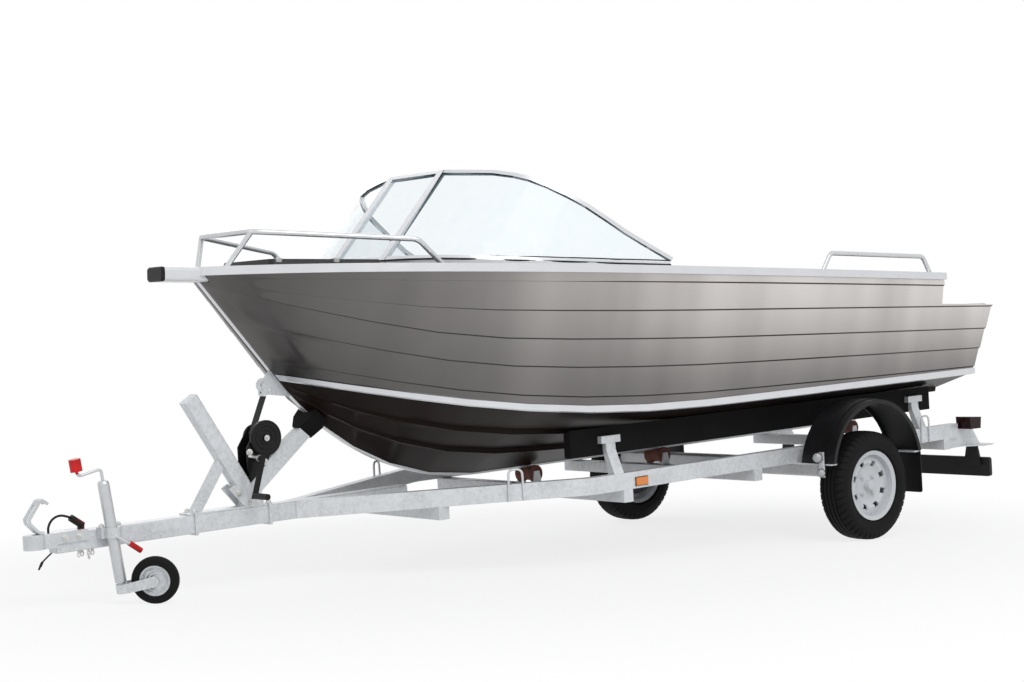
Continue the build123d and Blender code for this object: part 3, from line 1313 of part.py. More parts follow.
# Lighting lead from the coupling's top to its plug, which stands in a holder
LEAD_Y = 21.0
LEAD_RADIUS = 5.0
LEAD_FOOT = -52.0         # these are measured forward of the ball's middle
LEAD_CROWN = (-122.0, 64.0)
PLUG_HEAD = (-154.0, 52.0)
PLUG_FOOT = (-206.0, 14.0)
PLUG_RADIUS = 15.0
PLUG_HOLDER = (26.0, 14.0)


def over_coupling(x, z):
    """Point over the coupling in the lead's plane, forward of the ball's middle and up from the top."""
    return Vector(COUPLER_X + x, LEAD_Y, coupler_top + z)


lead_foot = over_coupling(LEAD_FOOT, FIT)
plug_ends = (over_coupling(*PLUG_HEAD), over_coupling(*PLUG_FOOT))
plug_axis = (plug_ends[0] - plug_ends[1]).normalized()
with BuildPart() as plug_lead:
    with BuildLine():
        lead_rise = Line(lead_foot, over_coupling(LEAD_FOOT, 2 * LEAD_RADIUS))
        lead_arc = TangentArc(lead_rise @ 1, over_coupling(*LEAD_CROWN), tangent=lead_rise % 1)
        TangentArc(lead_arc @ 1, plug_ends[0], tangent=lead_arc % 1)
    with BuildSketch(Plane(lead_foot, z_dir=lead_rise % 0)):
        Circle(LEAD_RADIUS)
    sweep()
    split(bisect_by=Plane(plug_ends[0] + plug_axis * FIT, z_dir=plug_axis))
with BuildPart() as lead_plug:
    with BuildSketch(Plane(plug_ends[1], z_dir=plug_axis)):
        Circle(PLUG_RADIUS)
    extrude(amount=(plug_ends[0] - plug_ends[1]).length)
    holder_top = plug_ends[1].Z
    with Locations((plug_ends[1].X + 8, LEAD_Y, (coupler_top + FIT + holder_top) / 2)):
        Box(PLUG_HOLDER[0], PLUG_HOLDER[1], holder_top - coupler_top - FIT)

# Jockey wheel: outer tube clamped to the drawbar, leg with castor fork, wheel and crank
JOCKEY_X = 3931.0
JOCKEY_Y = 84.0
JOCKEY_Z = 183.0
JOCKEY_LEAN = 7.2
CASTOR_TRAIL = 144.0
CASTOR_TURN = 139.6       # bearing of the trailing wheel from dead ahead, towards port
TUBE_RADIUS = 24.5
LEG_RADIUS = 19.0
JOCKEY_RADIUS = 100.0
JOCKEY_WIDTH = 46.0
JOCKEY_ROUND = 17.0
JOCKEY_RIM = 65.0
lean = radians(JOCKEY_LEAN)
park = radians(NOSE_DOWN)
leg_axis = Vector(sin(lean), 0, cos(lean))
ahead = Vector(cos(radians(CASTOR_TURN)), sin(radians(CASTOR_TURN)), 0)
trail = (ahead - leg_axis * ahead.dot(leg_axis)).normalized()
jockey_axle = leg_axis.cross(trail)


def parked_height(vector):
    """Vertical part of a direction once the trailer is parked nose down."""
    return vector.Z * cos(park) - vector.X * sin(park)


cant = asin(abs(parked_height(jockey_axle)))
wheel_reach = (JOCKEY_RADIUS - JOCKEY_ROUND) * cos(cant) + JOCKEY_ROUND
wheel_reach += (JOCKEY_WIDTH / 2 - JOCKEY_ROUND) * sin(cant)
clamp_centre = Vector(JOCKEY_X, JOCKEY_Y, JOCKEY_Z)
clamp_height = TYRE_RADIUS + parked_height(clamp_centre)
leg_drop = (clamp_height + CASTOR_TRAIL * parked_height(trail) - wheel_reach) / parked_height(leg_axis)
jockey = Plane(origin=clamp_centre, x_dir=trail, z_dir=leg_axis)
wheel_centre = jockey.from_local_coords(Vector(CASTOR_TRAIL, 0, -leg_drop))
TUBE_TOP = 235.0
TUBE_LOW = -186.0
COLLAR = (-232.0, -194.0)  # foot and top of the castor's collar, along the tube
FORK_HALF = JOCKEY_WIDTH / 2 + 8
FORK_PLATE = 5.0
AXLE_RADIUS = 8.0
TUBE_CAP = 14.0
CLAMP_FOOT = 5.0          # foot of the clamp block above the clamp's centre
CLAMP_DEPTH = 44.0
CLAMP_LENGTH = 104.0
CLAMP_WALL = 12.0
LEVER_ROD = 6.0
LEVER_GRIP = 12.0
tube_side = Plane(origin=clamp_centre, x_dir=trail, z_dir=trail.cross(leg_axis))
with BuildPart() as jockey_tube:
    with BuildSketch(jockey.offset(TUBE_LOW)):
        Circle(TUBE_RADIUS)
        Circle(LEG_RADIUS + FIT, mode=Mode.SUBTRACT)
    extrude(amount=TUBE_TOP - TUBE_LOW)
    with BuildSketch(tube_side):
        with BuildLine():
            Polyline(
                (0, TUBE_TOP), (TUBE_RADIUS, TUBE_TOP), (TUBE_RADIUS - 5, TUBE_TOP + TUBE_CAP - 4),
                (TUBE_RADIUS / 2, TUBE_TOP + TUBE_CAP), (0, TUBE_TOP + TUBE_CAP), close=True,
            )
        make_face()
    revolve(axis=Axis(clamp_centre, leg_axis))
with BuildPart() as jockey_clamp_block:
    with BuildSketch(Plane.XY.offset(JOCKEY_Z + CLAMP_FOOT)):
        with Locations((JOCKEY_X, JOCKEY_Y)):
            Circle(TUBE_RADIUS + CLAMP_WALL)
        with Locations((JOCKEY_X, (DRAWBAR / 2 + JOCKEY_Y) / 2)):
            Rectangle(CLAMP_LENGTH, JOCKEY_Y - DRAWBAR / 2)
    extrude(amount=CLAMP_DEPTH)
    with BuildSketch(jockey.offset(-CLAMP_LENGTH)):
        Circle(TUBE_RADIUS + FIT)
    extrude(amount=2 * CLAMP_LENGTH, mode=Mode.SUBTRACT)
    with Locations((JOCKEY_X, 0, JOCKEY_Z)):
        Box(4 * CLAMP_LENGTH, DRAWBAR + 2 * FIT, 4 * CLAMP_DEPTH, mode=Mode.SUBTRACT)
lever_path = [
    clamp_centre + Vector(*offset) for offset in ((20, 28, 24), (-53, 43, -25), (-102, 43, -62))
]
grip_foot = lever_path[1] - (lever_path[2] - lever_path[1]).normalized() * LEVER_ROD
with BuildPart() as clamp_lever:
    for start, end, radius in (
        (lever_path[0], lever_path[1], LEVER_ROD),
        (grip_foot, lever_path[2], LEVER_GRIP),
    ):
        with BuildSketch(Plane(start, z_dir=end - start)):
            Circle(radius)
        extrude(amount=(end - start).length)
    with BuildSketch(jockey.offset(-CLAMP_LENGTH)):
        Circle(TUBE_RADIUS + FIT)
    extrude(amount=2 * CLAMP_LENGTH, mode=Mode.SUBTRACT)
with jockey_tube:
    add(jockey_clamp_block.part)
    add(clamp_lever.part)
with BuildPart() as jockey_leg:
    with BuildSketch(jockey.offset(COLLAR[1] + FIT)):
        Circle(LEG_RADIUS)
    extrude(amount=TUBE_TOP - 60 - COLLAR[1])
with BuildPart() as jockey_fork:
    with BuildSketch(jockey.offset(COLLAR[0])):
        Circle(TUBE_RADIUS)
    extrude(amount=COLLAR[1] - COLLAR[0])
    for side in (-1, 1):
        cheek = jockey.from_local_coords(Vector(0, side * FORK_HALF, -leg_drop))
        with BuildSketch(Plane(cheek, x_dir=trail, z_dir=jockey_axle * -1)):
            with BuildLine():
                low = COLLAR[0] + leg_drop
                Polyline(
                    (-10, low), (34, low), (CASTOR_TRAIL + 10, -22), (CASTOR_TRAIL + 20, 0),
                    (CASTOR_TRAIL + 10, 20),
                    (CASTOR_TRAIL - 10, 20), (-10, low + 36), close=True,
                )
            make_face()
        extrude(amount=-FORK_PLATE * side)
    with BuildSketch(Plane(jockey.from_local_coords(Vector(0, 0, COLLAR[0])), x_dir=trail, z_dir=leg_axis)):
        with Locations((11, 0)):
            Rectangle(42, 2 * FORK_HALF + 2 * FORK_PLATE)
    extrude(amount=FORK_PLATE)
    axle_end = jockey.from_local_coords(Vector(CASTOR_TRAIL, -FORK_HALF - 9, -leg_drop))
    with BuildSketch(Plane(axle_end, x_dir=trail, z_dir=jockey_axle)):
        Circle(AXLE_RADIUS)
    extrude(amount=2 * FORK_HALF + 18)
jockey_spin = Plane(origin=wheel_centre, x_dir=trail, z_dir=leg_axis)
HUB_HALF = 20.0
HUB_TUBE = 20.0
WEB = 5.0
FLANGE_HALF = 18.0
with BuildPart() as jockey_rim:
    with BuildSketch(jockey_spin):
        with BuildLine():
            half = [
                (AXLE_RADIUS + RUNNING, HUB_HALF), (HUB_TUBE, HUB_HALF), (HUB_TUBE, WEB),
                (JOCKEY_RIM - 24, WEB),
                (JOCKEY_RIM - 14, WEB + 5), (JOCKEY_RIM - 7, FLANGE_HALF), (JOCKEY_RIM, FLANGE_HALF),
            ]
            Polyline(*half, *[(x, -y) for x, y in reversed(half)], close=True)
        make_face()
    revolve(axis=Axis(wheel_centre, jockey_axle))
with BuildPart() as jockey_tyre:
    with BuildSketch(jockey_spin):
        with Locations(((JOCKEY_RIM + FIT + JOCKEY_RADIUS) / 2, 0)):
            Rectangle(JOCKEY_RADIUS - JOCKEY_RIM - FIT, JOCKEY_WIDTH)
        fillet(vertices().group_by(Axis.X)[-1], JOCKEY_ROUND)
    revolve(axis=Axis(wheel_centre, jockey_axle))

# Crank: a bent rod with a knob that stands up from its end
CRANK_ROD = 6.5
CRANK_RISE = 48.0
CRANK_REACH = 108.0
CRANK_BEND = 16.0
KNOB_RADIUS = 25.0
KNOB_FOOT = 14.0
KNOB_HEIGHT = 52.0
crank_low = TUBE_TOP + TUBE_CAP + FIT
forward = jockey.to_local_coords(jockey.origin + Vector(1, 0, 0))
aim = Vector(forward.X, forward.Y, 0).normalized()
crank_path = [
    jockey.from_local_coords(point)
    for point in (
        Vector(0, 0, crank_low), Vector(0, 0, crank_low + CRANK_RISE),
        aim * CRANK_REACH + Vector(0, 0, crank_low + CRANK_RISE - 8),
        aim * CRANK_REACH + Vector(0, 0, crank_low + CRANK_RISE + 2 * CRANK_BEND),
    )
]
knob_foot = jockey.offset(crank_low + CRANK_RISE + KNOB_FOOT)
with BuildPart() as jockey_crank:
    with BuildLine():
        FilletPolyline(*crank_path, radius=CRANK_BEND)
    with BuildSketch(jockey.offset(crank_low)):
        Circle(CRANK_ROD)
    sweep()
    with BuildSketch(knob_foot):
        with Locations(aim * CRANK_REACH):
            Circle(KNOB_RADIUS)
    extrude(amount=KNOB_HEIGHT)

# Brackets behind the rails, with rear lamps on them and the light board hung below
BOARD_X = -1262.0
BOARD_Z = (-94.0, 15.0)
BOARD_INSET = 76.0
BOARD_THICK = 24.0
BOARD_ROUND = 14.0
PLATE_THICK = 8.0
SHELF_Z = 86.0
SHELF_THICK = 6.0
SHELF_AFT = -1300.0
CLIP_HALF = (58.0, 34.0)  # half breadths at the clip's foot and head
CLIP_FOOT = -30.0
CLIP_THICK = 16.0
LAMP_Y = 96.0
board_half = wheel_y - BOARD_INSET
board_front = BOARD_X + BOARD_THICK
bracket_y = rail_out - RAIL_WIDTH / 2
with BuildPart() as light_board:
    with BuildSketch(Plane.YZ.offset(BOARD_X)):
        with Locations((0, sum(BOARD_Z) / 2)):
            RectangleRounded(2 * board_half, BOARD_Z[1] - BOARD_Z[0], BOARD_ROUND)
    extrude(amount=BOARD_THICK)
    for y in (bracket_y, -bracket_y):
        with BuildSketch(Plane.YZ.offset(board_front)):
            with BuildLine():
                Polyline(
                    (y - CLIP_HALF[0], CLIP_FOOT), (y + CLIP_HALF[0], CLIP_FOOT),
                    (y + CLIP_HALF[1], SHELF_Z - FIT), (y - CLIP_HALF[1], SHELF_Z - FIT), close=True,
                )
            make_face()
        extrude(amount=CLIP_THICK)
with BuildPart() as bracket_port:
    with BuildSketch(Plane.XZ.offset(-bracket_y + PLATE_THICK / 2)):
        with BuildLine():
            Polyline(
                (RAIL_AFT - FIT, RAIL_TOP - 6), (RAIL_AFT - 170, RAIL_TOP - 42),
                (SHELF_AFT, SHELF_Z + SHELF_THICK),
                (SHELF_AFT, SHELF_Z), (RAIL_AFT + 52, SHELF_Z), (RAIL_AFT + 52, rail_low - FIT),
                (RAIL_AFT - FIT, rail_low - FIT), close=True,
            )
        make_face()
    extrude(amount=-PLATE_THICK)
    with BuildSketch(Plane.XY.offset(SHELF_Z)):
        with BuildLine():
            Polyline(
                (SHELF_AFT, bracket_y), (RAIL_AFT - 48, bracket_y), (RAIL_AFT - 140, board_half),
                (SHELF_AFT + 10, board_half), close=True,
            )
        make_face()
    extrude(amount=SHELF_THICK)
    with Locations((RAIL_AFT - FIT - PLATE_THICK / 2, bracket_y, RAIL_TOP - RAIL_DEPTH / 2)):
        Box(PLATE_THICK, RAIL_WIDTH - 4, RAIL_DEPTH - 4)
with BuildPart() as frame_brackets:
    for bracket in (guard_arm_port, bracket_port):
        add(bracket.part)
        mirror(bracket.part, about=Plane.XZ)
with BuildPart() as rear_lamp_port:
    with BuildSketch(Plane.XZ.offset(-bracket_y - PLATE_THICK / 2 - FIT)):
        with BuildLine():
            Polyline(
                (RAIL_AFT - 24, RAIL_TOP - 34), (RAIL_AFT - 118, RAIL_TOP - 36),
                (RAIL_AFT - 126, RAIL_TOP + 28),
                (RAIL_AFT - 18, RAIL_TOP + 36), close=True,
            )
        make_face()
    extrude(amount=-LAMP_Y)
with BuildPart() as rear_lamps:
    add(rear_lamp_port.part)
    mirror(rear_lamp_port.part, about=Plane.XZ)

# Tie loops of bent rod on the rails' outer faces.  Columns: x along the rail, and its turn.
LOOP_ROD = 5.5
LOOP_HALF = 36.0
LOOP_RISE = 68.0          # above the rail's top
LOOP_BEND = 24.0
front_loop_x = BEND_X + 318.0
LOOPS = (
    (-757.0, rail_out, 0.0),
    (front_loop_x, rail_out - (front_loop_x - BEND_X) * tan(vee), -vee),
)
with BuildPart() as tie_loops_port:
    for x, y, turn in LOOPS:
        off = LOOP_ROD + FIT
        face = Plane(
            origin=(x - off * sin(turn), y + off * cos(turn), rail_low), x_dir=(cos(turn), sin(turn), 0),
            z_dir=(sin(turn), -cos(turn), 0),
        )
        with BuildLine(face):
            rod = FilletPolyline(
                (-LOOP_HALF, 0), (-LOOP_HALF + 4, RAIL_DEPTH + LOOP_RISE),
                (LOOP_HALF - 4, RAIL_DEPTH + LOOP_RISE),
                (LOOP_HALF, 0), radius=LOOP_BEND,
            )
        with BuildSketch(Plane(rod @ 0, z_dir=rod % 0)):
            Circle(LOOP_ROD)
        sweep(path=rod)
with BuildPart() as tie_loops:
    add(tie_loops_port.part)
    mirror(tie_loops_port.part, about=Plane.XZ)

# Park the whole on its jockey wheel, with the origin on the floor below the middle
pieces = {
    "hull_side_port": hull_side_port.part,
    "hull_side_starboard": hull_side_starboard.part,
    "hull_bottom_port": hull_bottom_port.part,
    "hull_bottom_starboard": hull_bottom_starboard.part,
    "keel_bar": keel_bar.part,
    "chine_strips": chine_strips.part,
    "gunwales": gunwales.part,
    "bowsprit": bowsprit.part,
    "sprit_cap": sprit_cap.part,
    "foredeck": foredeck.part,
    "bow_hatch": bow_hatch.part,
    "cockpit_sole": cockpit_sole.part,
    "transom": transom.part,
    "stern_bulkhead": stern_bulkhead.part,
    "stern_deck": stern_deck.part,
    "windscreen_glass": windscreen_glass.part,
    "windscreen_frame": windscreen_frame.part,
    "pulpit": pulpit.part,
    "grab_rails": grab_rails.part,
    "dash": dash.part,
    "helm_wheel": helm_wheel.part,
    "seat_bases": seat_bases.part,
    "seat_cushions": seat_cushions.part,
    "seat_backs": seat_backs.part,
    "bow_eye": bow_eye.part,
    "rail_port": rail_port.part,
    "rail_starboard": rail_starboard.part,
    "drawbar": drawbar.part,
    "cross_tubes": cross_tubes.part,
    "axle_beam": axle_beam.part,
    "frame_brackets": frame_brackets.part,
    "marker_lamps": marker_lamps.part,
    "bunks": bunks.part,
    "bunk_posts": bunk_posts.part,
    "keel_rollers": keel_rollers.part,
    "winch_post": winch_post.part,
    "bow_stop": bow_stop.part,
    "winch": winch.part,
    "winch_handle": winch_handle.part,
    "winch_strap": winch_strap.part,
    "strap_hook": strap_hook.part,
    "coupling": coupling.part,
    "plug_lead": plug_lead.part,
    "lead_plug": lead_plug.part,
    "jockey_tube": jockey_tube.part,
    "jockey_leg": jockey_leg.part,
    "jockey_fork": jockey_fork.part,
    "jockey_rim": jockey_rim.part,
    "jockey_tyre": jockey_tyre.part,
    "jockey_crank": jockey_crank.part,
    "light_board": light_board.part,
    "rear_lamps": rear_lamps.part,
    "tie_loops": tie_loops.part,
    "mudguard_port": guard_port.part,
    "mudguard_starboard": guard_port.part.mirror(Plane.XZ),
}
for hand, place in wheel_places.items():
    pieces[f"rim_{hand}"] = rim_port.part.moved(place)
    pieces[f"tyre_{hand}"] = tyre_port.part.moved(place)
stand = Location((0, 0, TYRE_RADIUS), (0, NOSE_DOWN, 0))
parked = {name: piece.moved(stand) for name, piece in pieces.items()}
boxes = [piece.bounding_box() for piece in parked.values()]
middle_x = (min(box.min.X for box in boxes) + max(box.max.X for box in boxes)) / 2
for name, piece in parked.items():
    final = piece.moved(Location((-middle_x, 0, 0)))
    final.label = name
    export_step(final, f"parts/{name}.step")
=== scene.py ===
"""Looks of an aluminium runabout on its road trailer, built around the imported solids."""

import json
import logging
import math
from dataclasses import dataclass
from enum import Enum
from typing import Any, Callable, Sequence

import bmesh
import bpy
from mathutils import Matrix, Vector
from mathutils.bvhtree import BVHTree

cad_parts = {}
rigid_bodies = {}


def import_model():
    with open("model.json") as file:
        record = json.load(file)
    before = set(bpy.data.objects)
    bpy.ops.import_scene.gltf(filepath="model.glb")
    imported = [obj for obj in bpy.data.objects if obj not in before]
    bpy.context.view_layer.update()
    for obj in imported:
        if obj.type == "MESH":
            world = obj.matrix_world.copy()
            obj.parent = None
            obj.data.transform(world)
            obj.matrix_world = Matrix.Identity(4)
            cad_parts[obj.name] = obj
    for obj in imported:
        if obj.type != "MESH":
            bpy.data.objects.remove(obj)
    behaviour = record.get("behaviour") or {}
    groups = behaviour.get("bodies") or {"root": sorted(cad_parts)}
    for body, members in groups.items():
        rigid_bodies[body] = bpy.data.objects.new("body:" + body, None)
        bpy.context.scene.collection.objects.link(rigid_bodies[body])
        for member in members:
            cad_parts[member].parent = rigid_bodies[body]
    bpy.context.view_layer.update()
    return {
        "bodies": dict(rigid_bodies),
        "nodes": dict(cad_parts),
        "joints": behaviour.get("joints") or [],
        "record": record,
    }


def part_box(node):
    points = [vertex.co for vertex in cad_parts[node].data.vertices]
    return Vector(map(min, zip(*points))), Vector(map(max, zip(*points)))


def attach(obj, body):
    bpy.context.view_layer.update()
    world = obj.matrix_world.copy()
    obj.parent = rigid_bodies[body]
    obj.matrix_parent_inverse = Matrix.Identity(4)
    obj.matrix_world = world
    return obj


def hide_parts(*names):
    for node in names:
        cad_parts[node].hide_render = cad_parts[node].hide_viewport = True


LOG = logging.getLogger("runabout")
Point = tuple[float, float, float]
SEEN_RAYS = ("Camera", "Glossy", "Transmission")   # rays that see the white background
PURE_WHITE = (1.0, 1.0, 1.0)
SAME_SPOT = 1e-6                                   # metres between points that are one
WELD_GAP = 2e-5                                    # metres between points of a solid that are one
REAL_EDGE = 24.0                                   # degrees above which a solid's edge stays sharp
SIDES = (1, -1)                                    # signs of y on the port and the starboard side


def turns(count: int) -> list[float]:
    """Angles of even steps round a circle."""
    return [math.tau * step / count for step in range(count)]


def placed(name: str, data: bpy.types.ID) -> bpy.types.Object:
    """Make an object and link it to the scene.

    Args:
        name: Name of the object.
        data: Its mesh, curve, lamp or camera.

    Returns:
        The new object.
    """
    made = bpy.data.objects.new(name, data)
    bpy.context.scene.collection.objects.link(made)
    return made


def middle_of(node: str) -> Vector:
    """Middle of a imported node's box."""
    low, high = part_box(node)
    return (low + high) / 2


def surface_of(node: str) -> BVHTree:
    """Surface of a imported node, to look up its nearest points."""
    return BVHTree.FromObject(bpy.data.objects[node], bpy.context.evaluated_depsgraph_get())


class Body(str, Enum):
    """Names of the bodies that pieces ride on."""

    STAND = "boat_and_trailer"
    PORT_WHEEL = "wheel_port"
    STARBOARD_WHEEL = "wheel_starboard"
    JOCKEY_WHEEL = "jockey_wheel"
    HATCH = "hatch"


class Hand(str, Enum):
    """The two sides of the boat."""

    PORT = "port"
    STARBOARD = "starboard"

    @property
    def sign(self) -> int:
        """Sign of y on this side."""
        return 1 if self is Hand.PORT else -1

    @property
    def wheel(self) -> Body:
        """Body of this side's road wheel."""
        return Body.PORT_WHEEL if self is Hand.PORT else Body.STARBOARD_WHEEL


class Signal:
    """A shader socket that takes part in Python arithmetic."""

    def __init__(self, graph: "Graph", socket: bpy.types.NodeSocket) -> None:
        """Keep the graph and the output socket.

        Args:
            graph: Graph that the socket belongs to.
            socket: Output socket to read.
        """
        self.graph = graph
        self.socket = socket

    def _math(self, operation: str, other: Any, swapped: bool = False) -> "Signal":
        """Add one Math node.

        Args:
            operation: Blender's name of the operation.
            other: The other operand, a signal or a number.
            swapped: Whether the other operand comes first.

        Returns:
            The result of the operation.
        """
        pair = (other, self) if swapped else (self, other)
        return self.graph.node("ShaderNodeMath", {"operation": operation}, {0: pair[0], 1: pair[1]})

    def __add__(self, other: Any) -> "Signal":
        """Sum."""
        return self._math("ADD", other)

    __radd__ = __add__

    def __sub__(self, other: Any) -> "Signal":
        """Difference."""
        return self._math("SUBTRACT", other)

    def __rsub__(self, other: Any) -> "Signal":
        """Reflected difference."""
        return self._math("SUBTRACT", other, swapped=True)

    def __mul__(self, other: Any) -> "Signal":
        """Product."""
        return self._math("MULTIPLY", other)

    __rmul__ = __mul__

    def __truediv__(self, other: Any) -> "Signal":
        """Quotient."""
        return self._math("DIVIDE", other)

    def __rtruediv__(self, other: Any) -> "Signal":
        """Reflected quotient."""
        return self._math("DIVIDE", other, swapped=True)

    def __pow__(self, other: Any) -> "Signal":
        """Power."""
        return self._math("POWER", other)

    def __rpow__(self, other: Any) -> "Signal":
        """Reflected power."""
        return self._math("POWER", other, swapped=True)

    def sine(self) -> "Signal":
        """Sine of the signal."""
        return self._math("SINE", 0.0)

    def absolute(self) -> "Signal":
        """Size without the sign."""
        return self._math("ABSOLUTE", 0.0)

    def step(self, low: float, high: float) -> "Signal":
        """Rise smoothly from 0 to 1.

        Args:
            low: Value where the rise starts.
            high: Value where it ends.

        Returns:
            The smooth step.
        """
        return self.graph.node(
            "ShaderNodeMapRange", {"interpolation_type": "SMOOTHSTEP"},
            {"Value": self, "From Min": low, "From Max": high},
        )


class Graph:
    """The node tree of a material or a sky, with short ways to add its nodes."""

    def __init__(self, owner: bpy.types.Material | bpy.types.World) -> None:
        """Empty the owner's node tree.

        Args:
            owner: Material or world that the nodes belong to.
        """
        self.owner = owner
        owner.use_nodes = True
        self.tree = owner.node_tree
        self.tree.nodes.clear()

    def node(self, kind: str, settings: dict[str, Any], inputs: dict[Any, Any], out: Any = 0) -> Signal:
        """Add one node.

        Args:
            kind: Type name of the node.
            settings: Properties set before the sockets; "stops" fills a colour ramp.
            inputs: Values or signals of the input sockets, by name or place.
            out: Name or place of the output that is returned.

        Returns:
            The chosen output.
        """
        made = self.tree.nodes.new(kind)
        for key, value in settings.items():
            if key == "stops":
                ramp = made.color_ramp
                while len(ramp.elements) < len(value):
                    ramp.elements.new(0.5)
                for element, (place, colour) in zip(ramp.elements, value):
                    element.position = place
                    element.color = (*colour, 1.0) if len(colour) == 3 else colour
            else:
                setattr(made, key, value)
        for key, value in inputs.items():
            if isinstance(value, Signal):
                self.tree.links.new(value.socket, made.inputs[key])
            else:
                slot = made.inputs[key]
                if slot.type == "RGBA" and len(value) == 3:
                    value = (*value, 1.0)
                slot.default_value = value
        return Signal(self, made.outputs[out])

    def place(self, scale: Point = (1.0, 1.0, 1.0)) -> Signal:
        """Position on the part in metres, stretched by scale."""
        spot = self.node("ShaderNodeTexCoord", {}, {}, "Object")
        return self.node("ShaderNodeVectorMath", {"operation": "MULTIPLY"}, {0: spot, 1: scale})

    def axis(self, name: str) -> Signal:
        """One coordinate of the position on the part, in metres."""
        return self.node("ShaderNodeSeparateXYZ", {}, {0: self.place()}, name)

    def noise(self, scale: float, stretch: Point = (1.0, 1.0, 1.0), detail: float = 4.0) -> Signal:
        """Add a noise texture.

        Args:
            scale: Cells to the metre.
            stretch: Factor of the scale along each axis.
            detail: Octaves of finer noise.

        Returns:
            Noise of about 0 to 1.
        """
        return self.node(
            "ShaderNodeTexNoise", {}, {"Vector": self.place(stretch), "Scale": scale, "Detail": detail}
        )

    def cells(self, scale: float) -> Signal:
        """A grey value for each crystal-like cell."""
        tint = self.node("ShaderNodeTexVoronoi", {}, {"Vector": self.place(), "Scale": scale}, "Color")
        return self.node("ShaderNodeSeparateColor", {}, {0: tint}, 0)

    def ramp(self, value: Signal, *stops: tuple[float, Sequence[float]]) -> Signal:
        """Colour looked up along stops of (place, colour)."""
        return self.node("ShaderNodeValToRGB", {"stops": stops}, {0: value})

    def mix(self, share: Any, first: Any, second: Any) -> Signal:
        """Colour between first and second by share."""
        return self.node("ShaderNodeMix", {"data_type": "RGBA"}, {0: share, 6: first, 7: second}, 2)

    def tint(self, colour: Signal, share: Signal) -> Signal:
        """Colour times a grey share."""
        return self.node("ShaderNodeVectorMath", {"operation": "SCALE"}, {0: colour, "Scale": share})

    def rays(self, *kinds: str) -> Signal:
        """Tell the named kinds of ray from the others.

        Args:
            *kinds: Kinds as the Light Path node names them.

        Returns:
            One on rays of any of the kinds, else zero.
        """
        found = [self.node("ShaderNodeLightPath", {}, {}, f"Is {kind} Ray") for kind in kinds]
        share = found[0]
        for other in found[1:]:
            share = self.node("ShaderNodeMath", {"operation": "MAXIMUM"}, {0: share, 1: other})
        return share

    def bump(self, height: Signal, depth: float, strength: float = 1.0) -> Signal:
        """Normal of a surface raised by height times depth metres."""
        return self.node("ShaderNodeBump", {}, {"Height": height, "Distance": depth, "Strength": strength})

    def surface(self, **sockets: Any) -> bpy.types.Material:
        """End the graph with one Principled surface.

        Args:
            **sockets: Socket names with underscores for spaces, and their values.

        Returns:
            The finished material.
        """
        inputs = {key.replace("_", " "): value for key, value in sockets.items()}
        self.close(self.node("ShaderNodeBsdfPrincipled", {}, inputs))
        return self.owner

    def close(self, shader: Signal, kind: str = "ShaderNodeOutputMaterial") -> None:
        """Link a shader to the output of the material or the sky."""
        end = self.tree.nodes.new(kind)
        self.tree.links.new(shader.socket, end.inputs["Surface"])


@dataclass(frozen=True)
class Finish:
    """A finish with its main colour; subclasses build the nodes."""

    name: str
    colour: Point

    def material(self) -> bpy.types.Material:
        """Build the material, or find it if it was built before."""
        found = bpy.data.materials.get(self.name)
        return found if found else self.build(Graph(bpy.data.materials.new(self.name)))

    def shade(self, factor: float) -> Point:
        """The main colour, lighter or darker by factor."""
        return tuple(min(channel * factor, 1.0) for channel in self.colour)

    def build(self, graph: Graph) -> bpy.types.Material:
        """Build the nodes; each kind of finish has its own."""
        raise NotImplementedError


@dataclass(frozen=True)
class BrushedPlank(Finish):
    """Bare aluminium topside plating, brushed lengthwise, with painted reflections that make it darker forward and low
    down.
    """

    places: tuple[float, ...] = (-1.2, 0.0, 1.0, 1.8)   # metres along the boat
    high: tuple[float, ...] = (0.64, 0.52, 0.24, 0.12)  # tone of the top strake there, a painted reflection of a bright sky aft and a dark surround ahead
    low: tuple[float, ...] = (0.19, 0.2, 0.16, 0.055)  # tone of the lowest strake, a painted reflection of the same
    foot: float = 0.76
    head: float = 1.36

    def along(self, graph: Graph, tones: Sequence[float]) -> Signal:
        """Run through tones from stern to bow.

        Args:
            graph: Graph to add to.
            tones: Tone at each of the places.

        Returns:
            The colour along the boat.
        """
        first, last = self.places[0], self.places[-1]
        share = (graph.axis("X") - first) / (last - first)
        stops = [((place - first) / (last - first), tuple(tone * channel for channel in self.colour))
                 for place, tone in zip(self.places, tones)]
        return graph.ramp(share, *stops)

    def build(self, graph: Graph) -> bpy.types.Material:
        """Build fine lengthwise grain over broad streaks of painted reflection and cloudy patches.

        Args:
            graph: Graph of the material.

        Returns:
            The finished material.
        """
        grain = graph.noise(60.0, (0.05, 6.0, 9.0), 6.0)
        # broad upright streaks are painted reflections
        reflection_streak = graph.noise(2.4, (1.0, 0.15, 0.06), 2.0)
        cloud = graph.noise(1.4, (1.0, 0.6, 1.6), 2.0)
        # painted reflection: tone from the lowest to the top strake and from stern to bow
        rise = (graph.axis("Z") - self.foot) / (self.head - self.foot)
        tone = graph.mix(rise.step(0.0, 1.0), self.along(graph, self.low), self.along(graph, self.high))
        shade = reflection_streak * 0.9 + cloud * 0.25 + grain * 0.1 + 0.38
        return graph.surface(
            Base_Color=graph.tint(tone, shade), Metallic=1.0,
            Roughness=grain * 0.1 + cloud * 0.1 + 0.2,
            Normal=graph.bump(grain, 0.0002, 0.15),
        )


